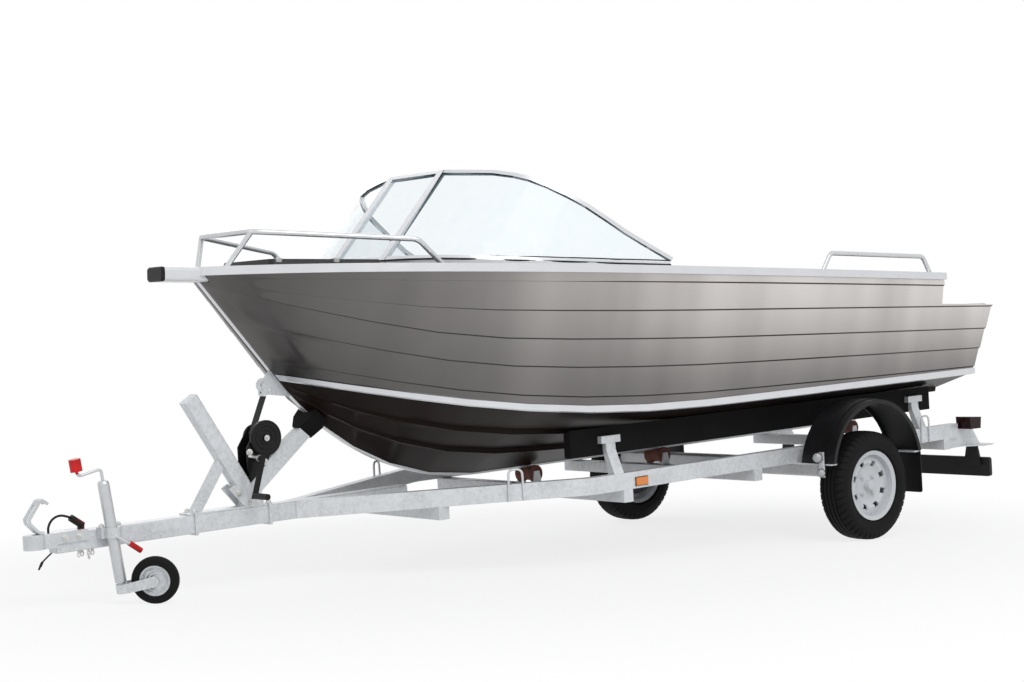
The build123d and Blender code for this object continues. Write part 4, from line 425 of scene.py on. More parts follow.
@dataclass(frozen=True)
class SatinMetal(Finish):
    """Bright drawn metal with fine draw lines."""

    roughness: float = 0.26
    stretch: Point = (0.08, 8.0, 8.0)
    metal: float = 0.55

    def build(self, graph: Graph) -> bpy.types.Material:
        """Build draw lines and faint finger marks.

        Args:
            graph: Graph of the material.

        Returns:
            The finished material.
        """
        lines = graph.noise(70.0, self.stretch, 5.0)
        marks = graph.noise(11.0, (1.0, 1.0, 1.0), 3.0)
        return graph.surface(
            Base_Color=graph.mix(lines * 0.5 + marks * 0.5, self.shade(0.86), self.shade(1.08)),
            Metallic=marks * 0.2 + self.metal - 0.1,
            Roughness=lines * 0.12 + marks * 0.1 + self.roughness - 0.1,
            Normal=graph.bump(lines, 0.0002, 0.25),
        )


@dataclass(frozen=True)
class Galvanised(Finish):
    """Hot-dip zinc with its frosted crystals."""

    crystals: float = 0.3
    roughness: float = 0.3
    metal: float = 0.2

    def build(self, graph: Graph) -> bpy.types.Material:
        """Build crystals, dull patches and a slightly lumpy coat.

        Args:
            graph: Graph of the material.

        Returns:
            The finished material.
        """
        crystal = graph.cells(75.0)
        fine = graph.cells(210.0)
        dull = graph.noise(6.0, (1.0, 1.0, 1.0), 5.0)
        tone = crystal * self.crystals + fine * 0.12 + dull * 0.7
        return graph.surface(
            Base_Color=graph.ramp(tone, (0.25, self.shade(0.8)), (0.6, self.colour), (0.95, self.shade(1.12))),
            Metallic=dull * 0.2 + self.metal,
            Roughness=crystal * 0.12 + dull * 0.2 + self.roughness,
            Normal=graph.bump(graph.noise(90.0), 0.0003, 0.12),
        )


@dataclass(frozen=True)
class GlossPaint(Finish):
    """Brushed-on paint with a soft gloss and dust in patches."""

    gloss: float = 0.3
    coat: float = 0.3
    mirror: float = 0.5
    dust: Point = (0.10, 0.085, 0.07)
    dust_share: float = 0.25

    def build(self, graph: Graph) -> bpy.types.Material:
        """Build a faint orange-peel coat with dust in cloudy patches.

        Args:
            graph: Graph of the material.

        Returns:
            The finished material.
        """
        cloud = graph.noise(2.2, (0.5, 1.0, 1.0), 4.0)
        return graph.surface(
            Base_Color=graph.mix(cloud.step(0.45, 0.8) * self.dust_share, self.colour, self.dust),
            Roughness=cloud * 0.2 + self.gloss - 0.1,
            Specular_IOR_Level=self.mirror,
            Coat_Weight=self.coat,
            Coat_Roughness=0.2,
            Normal=graph.bump(graph.noise(260.0), 0.0002, 0.25),
        )


@dataclass(frozen=True)
class GrainPlastic(Finish):
    """Moulded plastic or rubber with a fine leathery grain."""

    roughness: float = 0.5
    grain: float = 420.0
    depth: float = 0.0004
    mirror: float = 0.3

    def build(self, graph: Graph) -> bpy.types.Material:
        """Build pebbled grain and faint bloom.

        Args:
            graph: Graph of the material.

        Returns:
            The finished material.
        """
        pebble = graph.cells(self.grain)
        bloom = graph.noise(7.0, (1.0, 1.0, 1.0), 5.0)
        return graph.surface(
            Base_Color=graph.mix(bloom.step(0.35, 0.8), self.shade(0.85), self.shade(1.5)),
            Roughness=bloom * 0.2 + pebble * 0.08 + self.roughness - 0.12,
            Specular_IOR_Level=self.mirror,
            Normal=graph.bump(pebble, self.depth, 0.3),
        )


@dataclass(frozen=True)
class Webbing(Finish):
    """Woven strap."""

    def build(self, graph: Graph) -> bpy.types.Material:
        """Build a crossed weave.

        Args:
            graph: Graph of the material.

        Returns:
            The finished material.
        """
        warp = (graph.axis("Y") * 2600.0).sine()
        weft = (graph.axis("Z") * 2600.0).sine()
        weave = (warp * weft) * 0.5 + 0.5
        return graph.surface(
            Base_Color=graph.mix(weave, self.shade(0.6), self.shade(1.6)),
            Roughness=weave * 0.1 + 0.75,
            Normal=graph.bump(weave, 0.0006, 0.6),
        )


@dataclass(frozen=True)
class Vinyl(Finish):
    """Padded marine vinyl with a fine grain."""

    def build(self, graph: Graph) -> bpy.types.Material:
        """Build a leathery grain with soft wear.

        Args:
            graph: Graph of the material.

        Returns:
            The finished material.
        """
        grain = graph.cells(650.0)
        wear = graph.noise(8.0, (1.0, 1.0, 1.0), 4.0)
        return graph.surface(
            Base_Color=graph.mix(wear, self.shade(0.85), self.shade(1.12)),
            Roughness=wear * 0.15 + grain * 0.08 + 0.38,
            Normal=graph.bump(grain, 0.0004, 0.35),
        )


@dataclass(frozen=True)
class TreadPlate(Finish):
    """Matt plate with rows of raised studs."""

    pitch: float = 0.032

    def build(self, graph: Graph) -> bpy.types.Material:
        """Build the studs and some grime.

        Args:
            graph: Graph of the material.

        Returns:
            The finished material.
        """
        turn = math.tau / self.pitch
        wave = (graph.axis("X") * turn).sine() * (graph.axis("Y") * turn).sine()
        stud = wave.absolute().step(0.35, 0.7)
        grime = graph.noise(5.0, (1.0, 1.0, 1.0), 5.0)
        return graph.surface(
            Base_Color=graph.mix(stud * 0.6 + grime * 0.4, self.shade(0.75), self.shade(1.15)), Metallic=0.8,
            Roughness=grime * 0.2 + 0.4,
            Normal=graph.bump(stud, 0.0012, 0.7),
        )


@dataclass(frozen=True)
class ClearScreen(Finish):
    """Clear curved glazing with a trace of tint."""

    alpha: float = 0.16

    def build(self, graph: Graph) -> bpy.types.Material:
        """Build a glossy, see-through sheet with faint water marks.

        Args:
            graph: Graph of the material.

        Returns:
            The finished material.
        """
        marks = graph.noise(14.0, (1.0, 1.0, 1.0), 4.0)
        made = graph.surface(
            Base_Color=self.colour,
            Roughness=marks * 0.04 + 0.02,
            Alpha=marks * 0.06 + self.alpha,
            Specular_IOR_Level=0.5,
        )
        made.blend_method = "BLEND"
        return made


@dataclass(frozen=True)
class Lens(Finish):
    """Moulded lamp lens with prisms behind a glossy face."""

    ribs: float = 0.006
    gloss: float = 0.6
    mirror: float = 0.5

    def build(self, graph: Graph) -> bpy.types.Material:
        """Build a ribbed lens under a glossy coat.

        Args:
            graph: Graph of the material.

        Returns:
            The finished material.
        """
        turn = math.tau / self.ribs
        rib = (graph.axis("Z") * turn).sine() * (graph.axis("Y") * turn).sine() * 0.5 + 0.5
        return graph.surface(
            Base_Color=graph.mix(rib, self.shade(0.7), self.shade(1.2)),
            Roughness=rib * 0.1 + 0.12,
            Specular_IOR_Level=self.mirror,
            Coat_Weight=self.gloss,
            Coat_Roughness=0.05,
            Normal=graph.bump(rib, 0.0006, 0.35),
        )


HULL = BrushedPlank("hull_plank", (1.0, 0.955, 0.93))
BOTTOM = GlossPaint("bottom_paint", (0.012, 0.0072, 0.0056), gloss=0.34, coat=0.0, mirror=0.06, dust_share=0.1)
TRIM = SatinMetal("bright_extrusion", (0.72, 0.73, 0.75), roughness=0.3)
RAIL_TUBE = SatinMetal("polished_tube", (0.66, 0.67, 0.68), roughness=0.24)
ZINC = Galvanised("galvanised_steel", (0.70, 0.715, 0.73))
BRIGHT_ZINC = Galvanised("plated_tube", (0.69, 0.705, 0.72), crystals=0.05, roughness=0.2, metal=0.35)
BRIGHT_BOLT = SatinMetal("zinc_plated_bolt", (0.7, 0.7, 0.68), roughness=0.3, stretch=(1.0, 1.0, 1.0))
DECK = GrainPlastic("deck_paint", (0.055, 0.055, 0.057), roughness=0.55, grain=260.0)
HATCH = GrainPlastic("hatch_moulding", (0.022, 0.022, 0.024), roughness=0.4)
SOLE = TreadPlate("sole_tread", (0.4, 0.4, 0.4))
SCREEN = ClearScreen("screen_glazing", (0.55, 0.84, 0.95), alpha=0.08)
# black rubber of the gasket, and painted shadow in the bead under the windscreen's foot
GASKET_AND_FOOT_SHADOW = GrainPlastic("screen_gasket_and_foot_shadow", (0.015, 0.015, 0.016), roughness=0.6)
BLACK = GrainPlastic("black_moulding", (0.009, 0.009, 0.01), roughness=0.4, mirror=0.22)
BUNK = GrainPlastic("bunk_rubber", (0.006, 0.006, 0.006), roughness=0.75, grain=300.0, mirror=0.12)
ROLLER = GrainPlastic("roller_rubber", (0.07, 0.018, 0.015), roughness=0.6)
WINCH = GlossPaint("winch_enamel", (0.006, 0.006, 0.0065), gloss=0.35, coat=0.06, mirror=0.2, dust_share=0.05)
STRAP = Webbing("winch_webbing", (0.007, 0.007, 0.008))
SEAT = Vinyl("seat_vinyl", (0.30, 0.30, 0.31))
SEAT_BOX = GlossPaint("seat_box", (0.45, 0.45, 0.45), gloss=0.45, coat=0.0, dust=(0.35, 0.35, 0.34))
TYRE = GrainPlastic("tyre_rubber", (0.007, 0.007, 0.0075), roughness=0.7, grain=500.0, mirror=0.15)
WHEEL = GlossPaint("wheel_enamel", (0.62, 0.635, 0.65), gloss=0.32, coat=0.3, dust=(0.3, 0.29, 0.27))
WHITE_LENS = Lens("marker_lens", (0.46, 0.47, 0.48))
RED_LENS = Lens("rear_lens", (0.016, 0.001, 0.002), gloss=0.08, mirror=0.15)
AMBER_LENS = Lens("amber_lens", (0.9, 0.25, 0.02))
RED_GRIP = GrainPlastic("red_grip", (0.55, 0.012, 0.012), roughness=0.35)
LAP_SHADE = SatinMetal("lap_shadow", (0.07, 0.065, 0.06), roughness=0.5)
PALE = GrainPlastic("pale_moulding", (0.62, 0.62, 0.6), roughness=0.4)
RED_PLUG = GrainPlastic("red_plug", (0.16, 0.012, 0.014), roughness=0.45)

NODE_FINISH: dict[str, Finish] = {
    "hull_side_port": HULL, "hull_side_starboard": HULL, "transom": HULL, "stern_bulkhead": HULL,
    "hull_bottom_port": BOTTOM, "hull_bottom_starboard": BOTTOM, "keel_bar": TRIM, "chine_strips": TRIM,
    "gunwales": TRIM, "bowsprit": TRIM, "windscreen_frame": TRIM, "pulpit": RAIL_TUBE, "grab_rails": RAIL_TUBE,
    "bow_eye": ZINC, "foredeck": DECK, "stern_deck": HULL, "dash": DECK, "bow_hatch": HATCH, "cockpit_sole": SOLE,
    "windscreen_glass": SCREEN, "helm_wheel": BLACK, "seat_bases": SEAT_BOX, "seat_cushions": SEAT,
    "seat_backs": SEAT, "marker_lamps": WHITE_LENS, "rear_lamps": RED_LENS, "light_board": BLACK, "bunks": BUNK,
    "mudguard_port": BLACK, "mudguard_starboard": BLACK, "lead_plug": BLACK, "plug_lead": BLACK,
    "keel_rollers": ROLLER, "bow_stop": BUNK, "sprit_cap": BLACK, "winch": WINCH, "winch_handle": WINCH,
    "winch_strap": STRAP,
    "tyre_port": TYRE, "tyre_starboard": TYRE, "jockey_tyre": TYRE, "rim_port": WHEEL, "rim_starboard": WHEEL,
    "jockey_rim": ZINC, "jockey_tube": BRIGHT_ZINC, "jockey_leg": BRIGHT_ZINC, "jockey_crank": BRIGHT_ZINC,
    "coupling": BRIGHT_ZINC,
}


@dataclass(frozen=True)
class Parking:
    """How the level drawing of the boat stands nose down on the floor."""

    nose_down: float = math.radians(2.76)
    axle_height: float = 0.285
    axle_x: float = 0.0

    def point(self, x: float, y: float, z: float) -> Vector:
        """Place of a point given level in millimetres from the axle's centre, in metres."""
        moved = self.direction(x, y, z) / 1000.0
        return Vector((moved.x + self.axle_x, moved.y, moved.z + self.axle_height))

    def direction(self, x: float, y: float, z: float) -> Vector:
        """A direction given in the level drawing, turned to the parked trim."""
        sine, cosine = math.sin(self.nose_down), math.cos(self.nose_down)
        return Vector((x * cosine + z * sine, y, -x * sine + z * cosine))


class Piece:
    """A mesh under construction, made of several closed shapes."""

    PARALLEL = 0.98                         # cosine above which two directions are too close
    ODD_WAY = Vector((0.31, 0.17, 0.93))    # a direction that no path here follows
    # parts of a bolt: foot and head in heights, radius at foot and head in widths, sides
    BOLT = ((0.0, 0.25, 0.8, 0.8, 20), (0.25, 1.0, 0.56, 0.56, 6), (1.0, 1.45, 0.3, 0.22, 20))

    def __init__(self, name: str) -> None:
        """Start an empty mesh.

        Args:
            name: Name of the finished object.
        """
        self.name = name
        self.mesh = bmesh.new()

    def _add(self, maker: Callable[..., Any], matrix: Matrix, **sizes: Any) -> list[bmesh.types.BMVert]:
        """Run a bmesh primitive and return its vertices."""
        return maker(self.mesh, matrix=matrix, **sizes)["verts"]

    @staticmethod
    def frame(origin: Vector, up: Vector, ahead: Vector | None = None) -> Matrix:
        """Set up axes at a place.

        Args:
            origin: The place.
            up: Direction of z.
            ahead: Direction that x lies towards.

        Returns:
            The matrix of the axes.
        """
        axis = up.normalized()
        guess = ahead if ahead is not None else Vector((1, 0, 0))
        if abs(axis.dot(guess.normalized())) > Piece.PARALLEL:
            guess = Vector((0, 1, 0))
        side = (guess - axis * guess.dot(axis)).normalized()
        turn = Matrix((side, axis.cross(side), axis)).transposed().to_4x4()
        return Matrix.Translation(origin) @ turn

    def rod(self, start: Vector, end: Vector, radius: float, tip: float, sides: int) -> "Piece":
        """Add a straight bar.

        Args:
            start: Middle of its foot.
            end: Middle of its head.
            radius: Radius at the foot.
            tip: Radius at the head.
            sides: Number of its sides.

        Returns:
            This piece.
        """
        self._add(
            bmesh.ops.create_cone, self.frame((start + end) / 2, end - start), cap_ends=True, segments=sides,
            radius1=radius, radius2=tip, depth=(end - start).length,
        )
        return self

    def block(self, matrix: Matrix, size: Point, bevel: float) -> "Piece":
        """Add a block with rounded edges.

        Args:
            matrix: Axes at the block's middle.
            size: Its three sides.
            bevel: How far the edges are rounded.

        Returns:
            This piece.
        """
        verts = self._add(bmesh.ops.create_cube, matrix @ Matrix.Diagonal((*size, 1.0)), size=1.0)
        edges = {edge for vert in verts for edge in vert.link_edges}
        bmesh.ops.bevel(self.mesh, geom=list(edges), offset=bevel, segments=3, affect="EDGES", profile=0.6)
        return self

    def hexagon(self, origin: Vector, up: Vector, across: float, height: float) -> "Piece":
        """Add a bolt: washer, hexagon head and the rounded end of its thread.

        Args:
            origin: Where the bolt comes out.
            up: Direction of its axis.
            across: Width of the head.
            height: Height of washer and head.

        Returns:
            This piece.
        """
        axis = up.normalized()
        for foot, head, wide, tip, sides in self.BOLT:
            self.rod(origin + axis * height * foot, origin + axis * height * head, across * wide, across * tip, sides)
        return self

    def tube(self, path: Sequence[Vector], radius: float, sides: int = 14, closed: bool = False) -> "Piece":
        """Add a round tube that follows a path."""
        return self.ribbon(path, [(math.cos(a) * radius, math.sin(a) * radius) for a in turns(sides)], closed)

    def ribbon(self, path: Sequence[Vector], section: Sequence[tuple[float, float]], closed: bool = False,
               side: Vector | None = None) -> "Piece":
        """Add a bar of any closed section along a path.

        Args:
            path: Points of the centre line.
            section: Outline of the bar across the path.
            closed: Whether the path joins up with its start.
            side: Direction that the section's first axis keeps to.

        Returns:
            This piece.
        """
        rings = []
        count = len(path)
        for index, spot in enumerate(path):
            before = path[index - 1] if closed or index else path[0]
            after = path[(index + 1) % count] if closed or index + 1 < count else path[-1]
            matrix = self.frame(spot, after - before, side if side else self.ODD_WAY)
            rings.append([self.mesh.verts.new(matrix @ Vector((u, v, 0))) for u, v in section])
        spans = count if closed else count - 1
        width = len(section)
        for index in range(spans):
            here, there = rings[index], rings[(index + 1) % count]
            for k in range(width):
                m = (k + 1) % width
                self.mesh.faces.new((here[k], here[m], there[m], there[k]))
        if not closed:
            self.mesh.faces.new(reversed(rings[0]))
            self.mesh.faces.new(rings[-1])
        return self

    def lathe(self, origin: Vector, up: Vector, profile: Sequence[tuple[float, float]], sides: int = 32) -> "Piece":
        """Add a turned shape.

        Args:
            origin: Place of height zero.
            up: Direction of the axis.
            profile: Outline as (radius, height), which starts and ends on the axis or at one point.
            sides: Steps round the axis.

        Returns:
            This piece.
        """
        matrix = self.frame(origin, up)
        rings = []
        for radius, height in profile:
            if radius < SAME_SPOT:
                rings.append([self.mesh.verts.new(matrix @ Vector((0, 0, height)))])
                continue
            rings.append([
                self.mesh.verts.new(matrix @ Vector((radius * math.cos(a), radius * math.sin(a), height)))
                for a in turns(sides)
            ])
        for low, high in zip(rings, rings[1:]):
            for k in range(sides):
                m = (k + 1) % sides
                corners = (low[k % len(low)], low[m % len(low)], high[m % len(high)], high[k % len(high)])
                self.mesh.faces.new(list(dict.fromkeys(corners)))
        return self

    def done(self, finish: Finish, body: Body, slot: str, smooth: float = 35.0) -> bpy.types.Object:
        """Finish the mesh as an object that rides on a body.

        Args:
            finish: Finish of the surface.
            body: Body that carries the piece.
            slot: Material slot of the record; not used.
            smooth: Angle in degrees below which edges are shaded smooth.

        Returns:
            The new object.
        """
        bmesh.ops.recalc_face_normals(self.mesh, faces=self.mesh.faces)
        data = bpy.data.meshes.new(self.name)
        self.mesh.to_mesh(data)
        self.mesh.free()
        made = placed(self.name, data)
        data.materials.append(finish.material())
        shade_by_angle(made, smooth)
        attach(made, body.value)
        LOG.info("piece %s: %d faces", self.name, len(data.polygons))
        return made


def shade_by_angle(thing: bpy.types.Object, degrees: float) -> None:
    """Shade an object smooth, except at edges sharper than the angle.

    Args:
        thing: Object to shade.
        degrees: Sharpest edge that is still smoothed.
    """
    data = thing.data
    data.polygons.foreach_set("use_smooth", [True] * len(data.polygons))
    data.set_sharp_from_angle(angle=math.radians(degrees))


@dataclass
class RoadTyre:
    """A road tyre with circumferential grooves and cut shoulder blocks."""

    hand: Hand
    radius: float = 0.285
    blocks: int = 46
    groove: float = 0.006
    grooves: tuple[float, ...] = (-0.036, -0.012, 0.012, 0.036)
    groove_half: float = 0.0035
    groove_wall: float = 0.001
    rib_edge: float = 0.045
    crown: float = 0.0025
    crown_half: float = 0.0525
    crease: float = 30.0
    slant: float = 1.6      # radians that the cuts lean for each metre across
    # flank from bead to tread as (radius, across, whether the block cuts reach it)
    flank: tuple[tuple[float, float, bool], ...] = (
        (0.1655, -0.056, False), (0.184, -0.0565, False), (0.192, -0.0755, False), (0.199, -0.0790, False),
        (0.203, -0.0772, False), (0.222, -0.0815, False), (0.238, -0.0812, False), (0.252, -0.0768, False),
        (0.262, -0.0735, True), (0.273, -0.0668, True), (0.2805, -0.0575, True), (0.2822, -0.0510, True),
    )
    # one block round the tread as (share of its pitch, whether that is down in the cut)
    block: tuple[tuple[float, bool], ...] = ((0.0, False), (0.80, False), (0.82, True), (0.98, True))

    def profile(self) -> list[tuple[float, float, bool]]:
        """Draw the tyre's section.

        Returns:
            Points as (radius, across, whether the block cuts reach it).
        """
        tread = [(self.lift(-self.rib_edge), -self.rib_edge, True)]
        for middle in self.grooves:
            low, high = middle - self.groove_half, middle + self.groove_half
            tread += [
                (self.lift(low), low, False), (self.lift(low) - self.groove, low + self.groove_wall, False),
                (self.lift(high) - self.groove, high - self.groove_wall, False), (self.lift(high), high, False),
            ]
        tread.append((self.lift(self.rib_edge), self.rib_edge, True))
        return [*self.flank, *tread, *((r, -y, cut) for r, y, cut in reversed(self.flank))]

    def lift(self, across: float) -> float:
        """Radius of the crowned tread at a place across it."""
        return self.radius - self.crown * (across / self.crown_half) ** 2

    def build(self) -> None:
        """Build the tyre and let it stand for its plain solid."""
        piece = Piece(f"road_tyre_{self.hand.value}")
        middle = middle_of(f"tyre_{self.hand.value}")
        section = self.profile()
        columns = [(math.tau * (block + share) / self.blocks, deep)
                   for block in range(self.blocks) for share, deep in self.block]
        rings = []
        for angle, deep in columns:
            ring = []
            for radius, across, cut in section:
                reach = radius - (self.groove if cut and deep else 0.0)
                lean = angle + across * self.slant
                ring.append(piece.mesh.verts.new(
                    middle + Vector((reach * math.cos(lean), across, reach * math.sin(lean)))
                ))
            rings.append(ring)
        width = len(section)
        for index, ring in enumerate(rings):
            after = rings[(index + 1) % len(rings)]
            for k in range(width):
                m = (k + 1) % width
                piece.mesh.faces.new((ring[k], ring[m], after[m], after[k]))
        made = piece.done(TYRE, self.hand.wheel, "tyre", self.crease)
        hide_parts(f"tyre_{self.hand.value}")


@dataclass
class SeatPad:
    """A padded seat cushion or back, swollen by a short cloth simulation."""

    name: str
    node: str
    hand: Hand
    fill: float = 0.7
    voxel: float = 0.008
    shrink: float = 0.012
    swell: float = 0.011
    pressure: float = 4.0
    steps: int = 14
    merge: float = 1e-5
    inside: float = 0.0004      # the pad stays this far within its plain solid
    crease: float = 80.0

    def span(self) -> tuple[Vector, Vector]:
        """Measure this side's half of the plain solid.

        Returns:
            Its lowest and highest corners.
        """
        spots = [v.co for v in bpy.data.objects[self.node].data.vertices if v.co.y * self.hand.sign > 0]
        low = Vector(min(s[i] for s in spots) for i in range(3))
        high = Vector(max(s[i] for s in spots) for i in range(3))
        return low, high

    def shell(self) -> bpy.types.Object:
        """Copy this side's solid, pulled in a little, as a closed mesh.

        Returns:
            The copy.
        """
        source = bpy.data.objects[self.node].data
        work = bmesh.new()
        work.from_mesh(source)
        gone = [v for v in work.verts if v.co.y * self.hand.sign < 0]
        bmesh.ops.delete(work, geom=gone, context="VERTS")
        bmesh.ops.remove_doubles(work, verts=work.verts, dist=self.merge)
        bmesh.ops.recalc_face_normals(work, faces=work.faces)
        low, high = self.span()
        centre, reach = (low + high) / 2, (high - low) / 2
        for vert in work.verts:
            for i in range(3):
                vert.co[i] = centre[i] + (vert.co[i] - centre[i]) * (1 - self.shrink / reach[i])
        data = bpy.data.meshes.new(self.name)
        work.to_mesh(data)
        work.free()
        return placed(self.name, data)

    def inflate(self, pad: bpy.types.Object) -> None:
        """Swell a pad by a short cloth simulation, with each point's travel capped.

        Args:
            pad: The pad's object.
        """
        remesh = pad.modifiers.new("even", "REMESH")
        remesh.mode = "VOXEL"
        remesh.voxel_size = self.voxel
        self.apply(pad)
        before = [v.co.copy() for v in pad.data.vertices]
        cloth = pad.modifiers.new("swell", "CLOTH")
        cloth.settings.use_pressure = True
        cloth.settings.uniform_pressure_force = self.pressure
        cloth.settings.effector_weights.gravity = 0.0
        scene = bpy.context.scene
        for frame in range(1, self.steps + 1):
            scene.frame_set(frame)
        self.apply(pad)
        for vert, start in zip(pad.data.vertices, before):
            move = vert.co - start
            if move.length > self.swell:
                vert.co = start + move.normalized() * self.swell
        scene.frame_set(1)

    @staticmethod
    def apply(pad: bpy.types.Object) -> None:
        """Replace a pad's mesh with what its modifiers give.

        Args:
            pad: The pad's object.
        """
        graph = bpy.context.evaluated_depsgraph_get()
        fresh = bpy.data.meshes.new_from_object(pad.evaluated_get(graph))
        pad.modifiers.clear()
        pad.data = fresh

    def build(self) -> None:
        """Build the pad and let it stand for its plain solid."""
        pad = self.shell()
        self.inflate(pad)
        low, high = self.span()
        for vert in pad.data.vertices:
            vert.co = Vector(
                min(max(vert.co[i], low[i] + self.inside), high[i] - self.inside) for i in range(3)
            )
        pad.data.materials.clear()
        pad.data.materials.append(SEAT.material())
        shade_by_angle(pad, self.crease)
        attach(pad, Body.STAND.value)
        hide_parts(self.node)
        LOG.info("pad %s: %d faces", self.name, len(pad.data.polygons))


@dataclass
class SteelWheel:
    """A pressed steel wheel with a ring of vents, a hub cap, wheel bolts and the drum behind it, in black as painted
    shade behind the vents.
    """

    hand: Hand
    vents: int = 8
    columns: int = 15          # to each vent's share of the circle
    open_columns: int = 5
    turn: float = math.radians(10.0)   # how far the wheel has stopped past a vent
    # drum behind the vents, black as painted shade seen through them, as (radius, outboard of the tread's middle) in
    # metres
    drum: tuple[tuple[float, float], ...] = (
        (0.0459, 0.004), (0.120, 0.004), (0.128, -0.004), (0.128, -0.042), (0.0459, -0.042), (0.0459, 0.004),
    )
    vent_rings: tuple[int, int] = (7, 9)
    vent_back: tuple[int, int] = (27, 29)
    bolts: int = 4
    bolt_circle: float = 0.060
    bolt_foot: float = 0.020
    bolt_size: tuple[float, float] = (0.019, 0.012)    # across the flats, height
    drum_sides: int = 64
    crease: float = 28.0
    # closed outline as (radius, outboard of the tread's middle) in millimetres
    outline: tuple[tuple[float, float], ...] = (
        (0.0, 56.0), (19.0, 56.0), (24.5, 53.0), (27.0, 47.0), (27.0, 22.0), (46.0, 22.0), (78.0, 19.0), (104.0, 29.0),
        (118.0, 40.0), (132.0, 37.5), (143.0, 35.5), (161.0, 30.0), (161.0, 61.0), (172.0, 64.0), (182.0, 69.0),
        (182.0, 64.0), (165.0, 57.0), (165.0, 34.0), (153.0, 14.0), (153.0, -18.0), (165.0, -30.0), (165.0, -57.0),
        (182.0, -64.0), (182.0, -69.0), (161.0, -61.0), (161.0, -34.0), (149.0, 18.0), (132.0, 28.5), (118.0, 30.0),
        (104.0, 20.0), (72.0, 10.0), (46.0, 10.0), (46.0, -111.0), (20.05, -111.0), (20.05, -16.0), (0.0, -16.0),
    )

    def rings(self, piece: Piece, middle: Vector) -> list[list[bmesh.types.BMVert]]:
        """Turn the outline's points about the axle.

        Args:
            piece: Piece to add to.
            middle: Middle of the tyre.

        Returns:
            A ring for each point of the outline, of one vertex where that is on the axle.
        """
        rings = []
        for radius, out in self.outline:
            spots = [(0.0, 0.0)] if radius == 0.0 else [
                (radius * math.cos(angle), radius * math.sin(angle))
                for angle in (step + self.turn for step in turns(self.vents * self.columns))
            ]
            rings.append([
                piece.mesh.verts.new(middle + Vector((u, out * self.hand.sign, v)) / 1000) for u, v in spots
            ])
        return rings

    def skin(self, piece: Piece, rings: Sequence[Sequence[bmesh.types.BMVert]]) -> None:
        """Join the rings by faces, apart from the vents.

        Args:
            piece: Piece to add to.
            rings: The outline's rings.
        """
        count = self.vents * self.columns
        vented = {*range(*self.vent_rings), *range(*self.vent_back)}
        for index, (here, there) in enumerate(zip(rings, rings[1:])):
            for k in range(count):
                if index in vented and k % self.columns < self.open_columns:
                    continue
                m = (k + 1) % count
                corners = (here[k % len(here)], here[m % len(here)], there[m % len(there)], there[k % len(there)])
                piece.mesh.faces.new(list(dict.fromkeys(corners)))

    def vent_walls(self, piece: Piece, rings: Sequence[Sequence[bmesh.types.BMVert]]) -> None:
        """Line the vents through the disc.

        Args:
            piece: Piece to add to.
            rings: The outline's rings.
        """
        fronts = [rings[i] for i in range(self.vent_rings[0], self.vent_rings[1] + 1)]
        backs = [rings[i] for i in range(self.vent_back[1], self.vent_back[0] - 1, -1)]
        for vent in range(self.vents):
            ends = (vent * self.columns, vent * self.columns + self.open_columns)
            for k in range(*ends):
                for front, back in ((fronts[0], backs[0]), (fronts[-1], backs[-1])):
                    piece.mesh.faces.new((front[k], front[k + 1], back[k + 1], back[k]))
            for k in ends:
                for i in range(len(fronts) - 1):
                    piece.mesh.faces.new((fronts[i][k], fronts[i + 1][k], backs[i + 1][k], backs[i][k]))

    def build(self) -> None:
        """Build the wheel, let it stand for its plain solid, and build the drum."""
        side = self.hand.sign
        outward = Vector((0, side, 0))
        middle = middle_of(f"tyre_{self.hand.value}")
        piece = Piece(f"steel_wheel_{self.hand.value}")
        rings = self.rings(piece, middle)
        self.skin(piece, rings)
        self.vent_walls(piece, rings)
        for bolt in range(self.bolts):
            angle = math.tau * (bolt + 0.5) / self.bolts
            foot = middle + Vector((
                self.bolt_circle * math.cos(angle), self.bolt_foot * side, self.bolt_circle * math.sin(angle),
            ))
            piece.hexagon(foot, outward, *self.bolt_size)
        drum = Piece(f"hub_drum_{self.hand.value}").lathe(middle, outward, self.drum, self.drum_sides)
        bmesh.ops.remove_doubles(drum.mesh, verts=drum.mesh.verts, dist=SAME_SPOT)
        # black enamel on the drum is painted shade behind the vents
        drum.done(WINCH, self.hand.wheel, "winch_black", self.crease)
        made = piece.done(WHEEL, self.hand.wheel, "wheel_silver", self.crease)
        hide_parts(f"rim_{self.hand.value}")


@dataclass
class JockeyRings:
    """Pressed rings on both faces of the jockey wheel's disc."""

    parking: Parking
    centre: Point = (3797.465, 177.757, -1.997)
    radii: tuple[float, ...] = (0.030, 0.044)
    face: float = 0.0055
    wire: float = 0.0028
    wire_sides: int = 10
    steps: int = 48
    crease: float = 60.0
    sampled: int = 400      # points of the solid that are taken for its edge
    stride: int = 7         # from one point of a pair to the other

    def build(self) -> None:
        """Build the rings about the wheel's axle."""
        spots = [v.co for v in bpy.data.objects["jockey_rim"].data.vertices]
        middle = self.parking.point(*self.centre)
        edge = max((spot - middle).length for spot in spots)

        def from_edge(spot: Vector) -> float:
            """How far a point lies from the edge."""
            return abs((spot - middle).length - edge)

        turn = Piece.frame(middle, self.axis(middle, sorted(spots, key=from_edge)[:self.sampled]))
        piece = Piece("jockey_disc_rings")
        for side in SIDES:
            for radius in self.radii:
                piece.tube([
                    turn @ Vector((radius * math.cos(a), radius * math.sin(a), side * self.face))
                    for a in turns(self.steps)
                ], self.wire, self.wire_sides, closed=True)
        piece.done(ZINC, Body.JOCKEY_WHEEL, "wheel_silver", self.crease)

    def axis(self, middle: Vector, spots: Sequence[Vector]) -> Vector:
        """Find the axle's direction from pairs of points on the edge.

        Args:
            middle: Middle of the wheel.
            spots: Points of its edge.

        Returns:
            The direction square to the edge.
        """
        best = Vector((0, 0, 0))
        for first, second in zip(spots, spots[self.stride:]):
            across = (first - middle).cross(second - middle)
            if across.length > best.length:
                best = across
        return best.normalized()


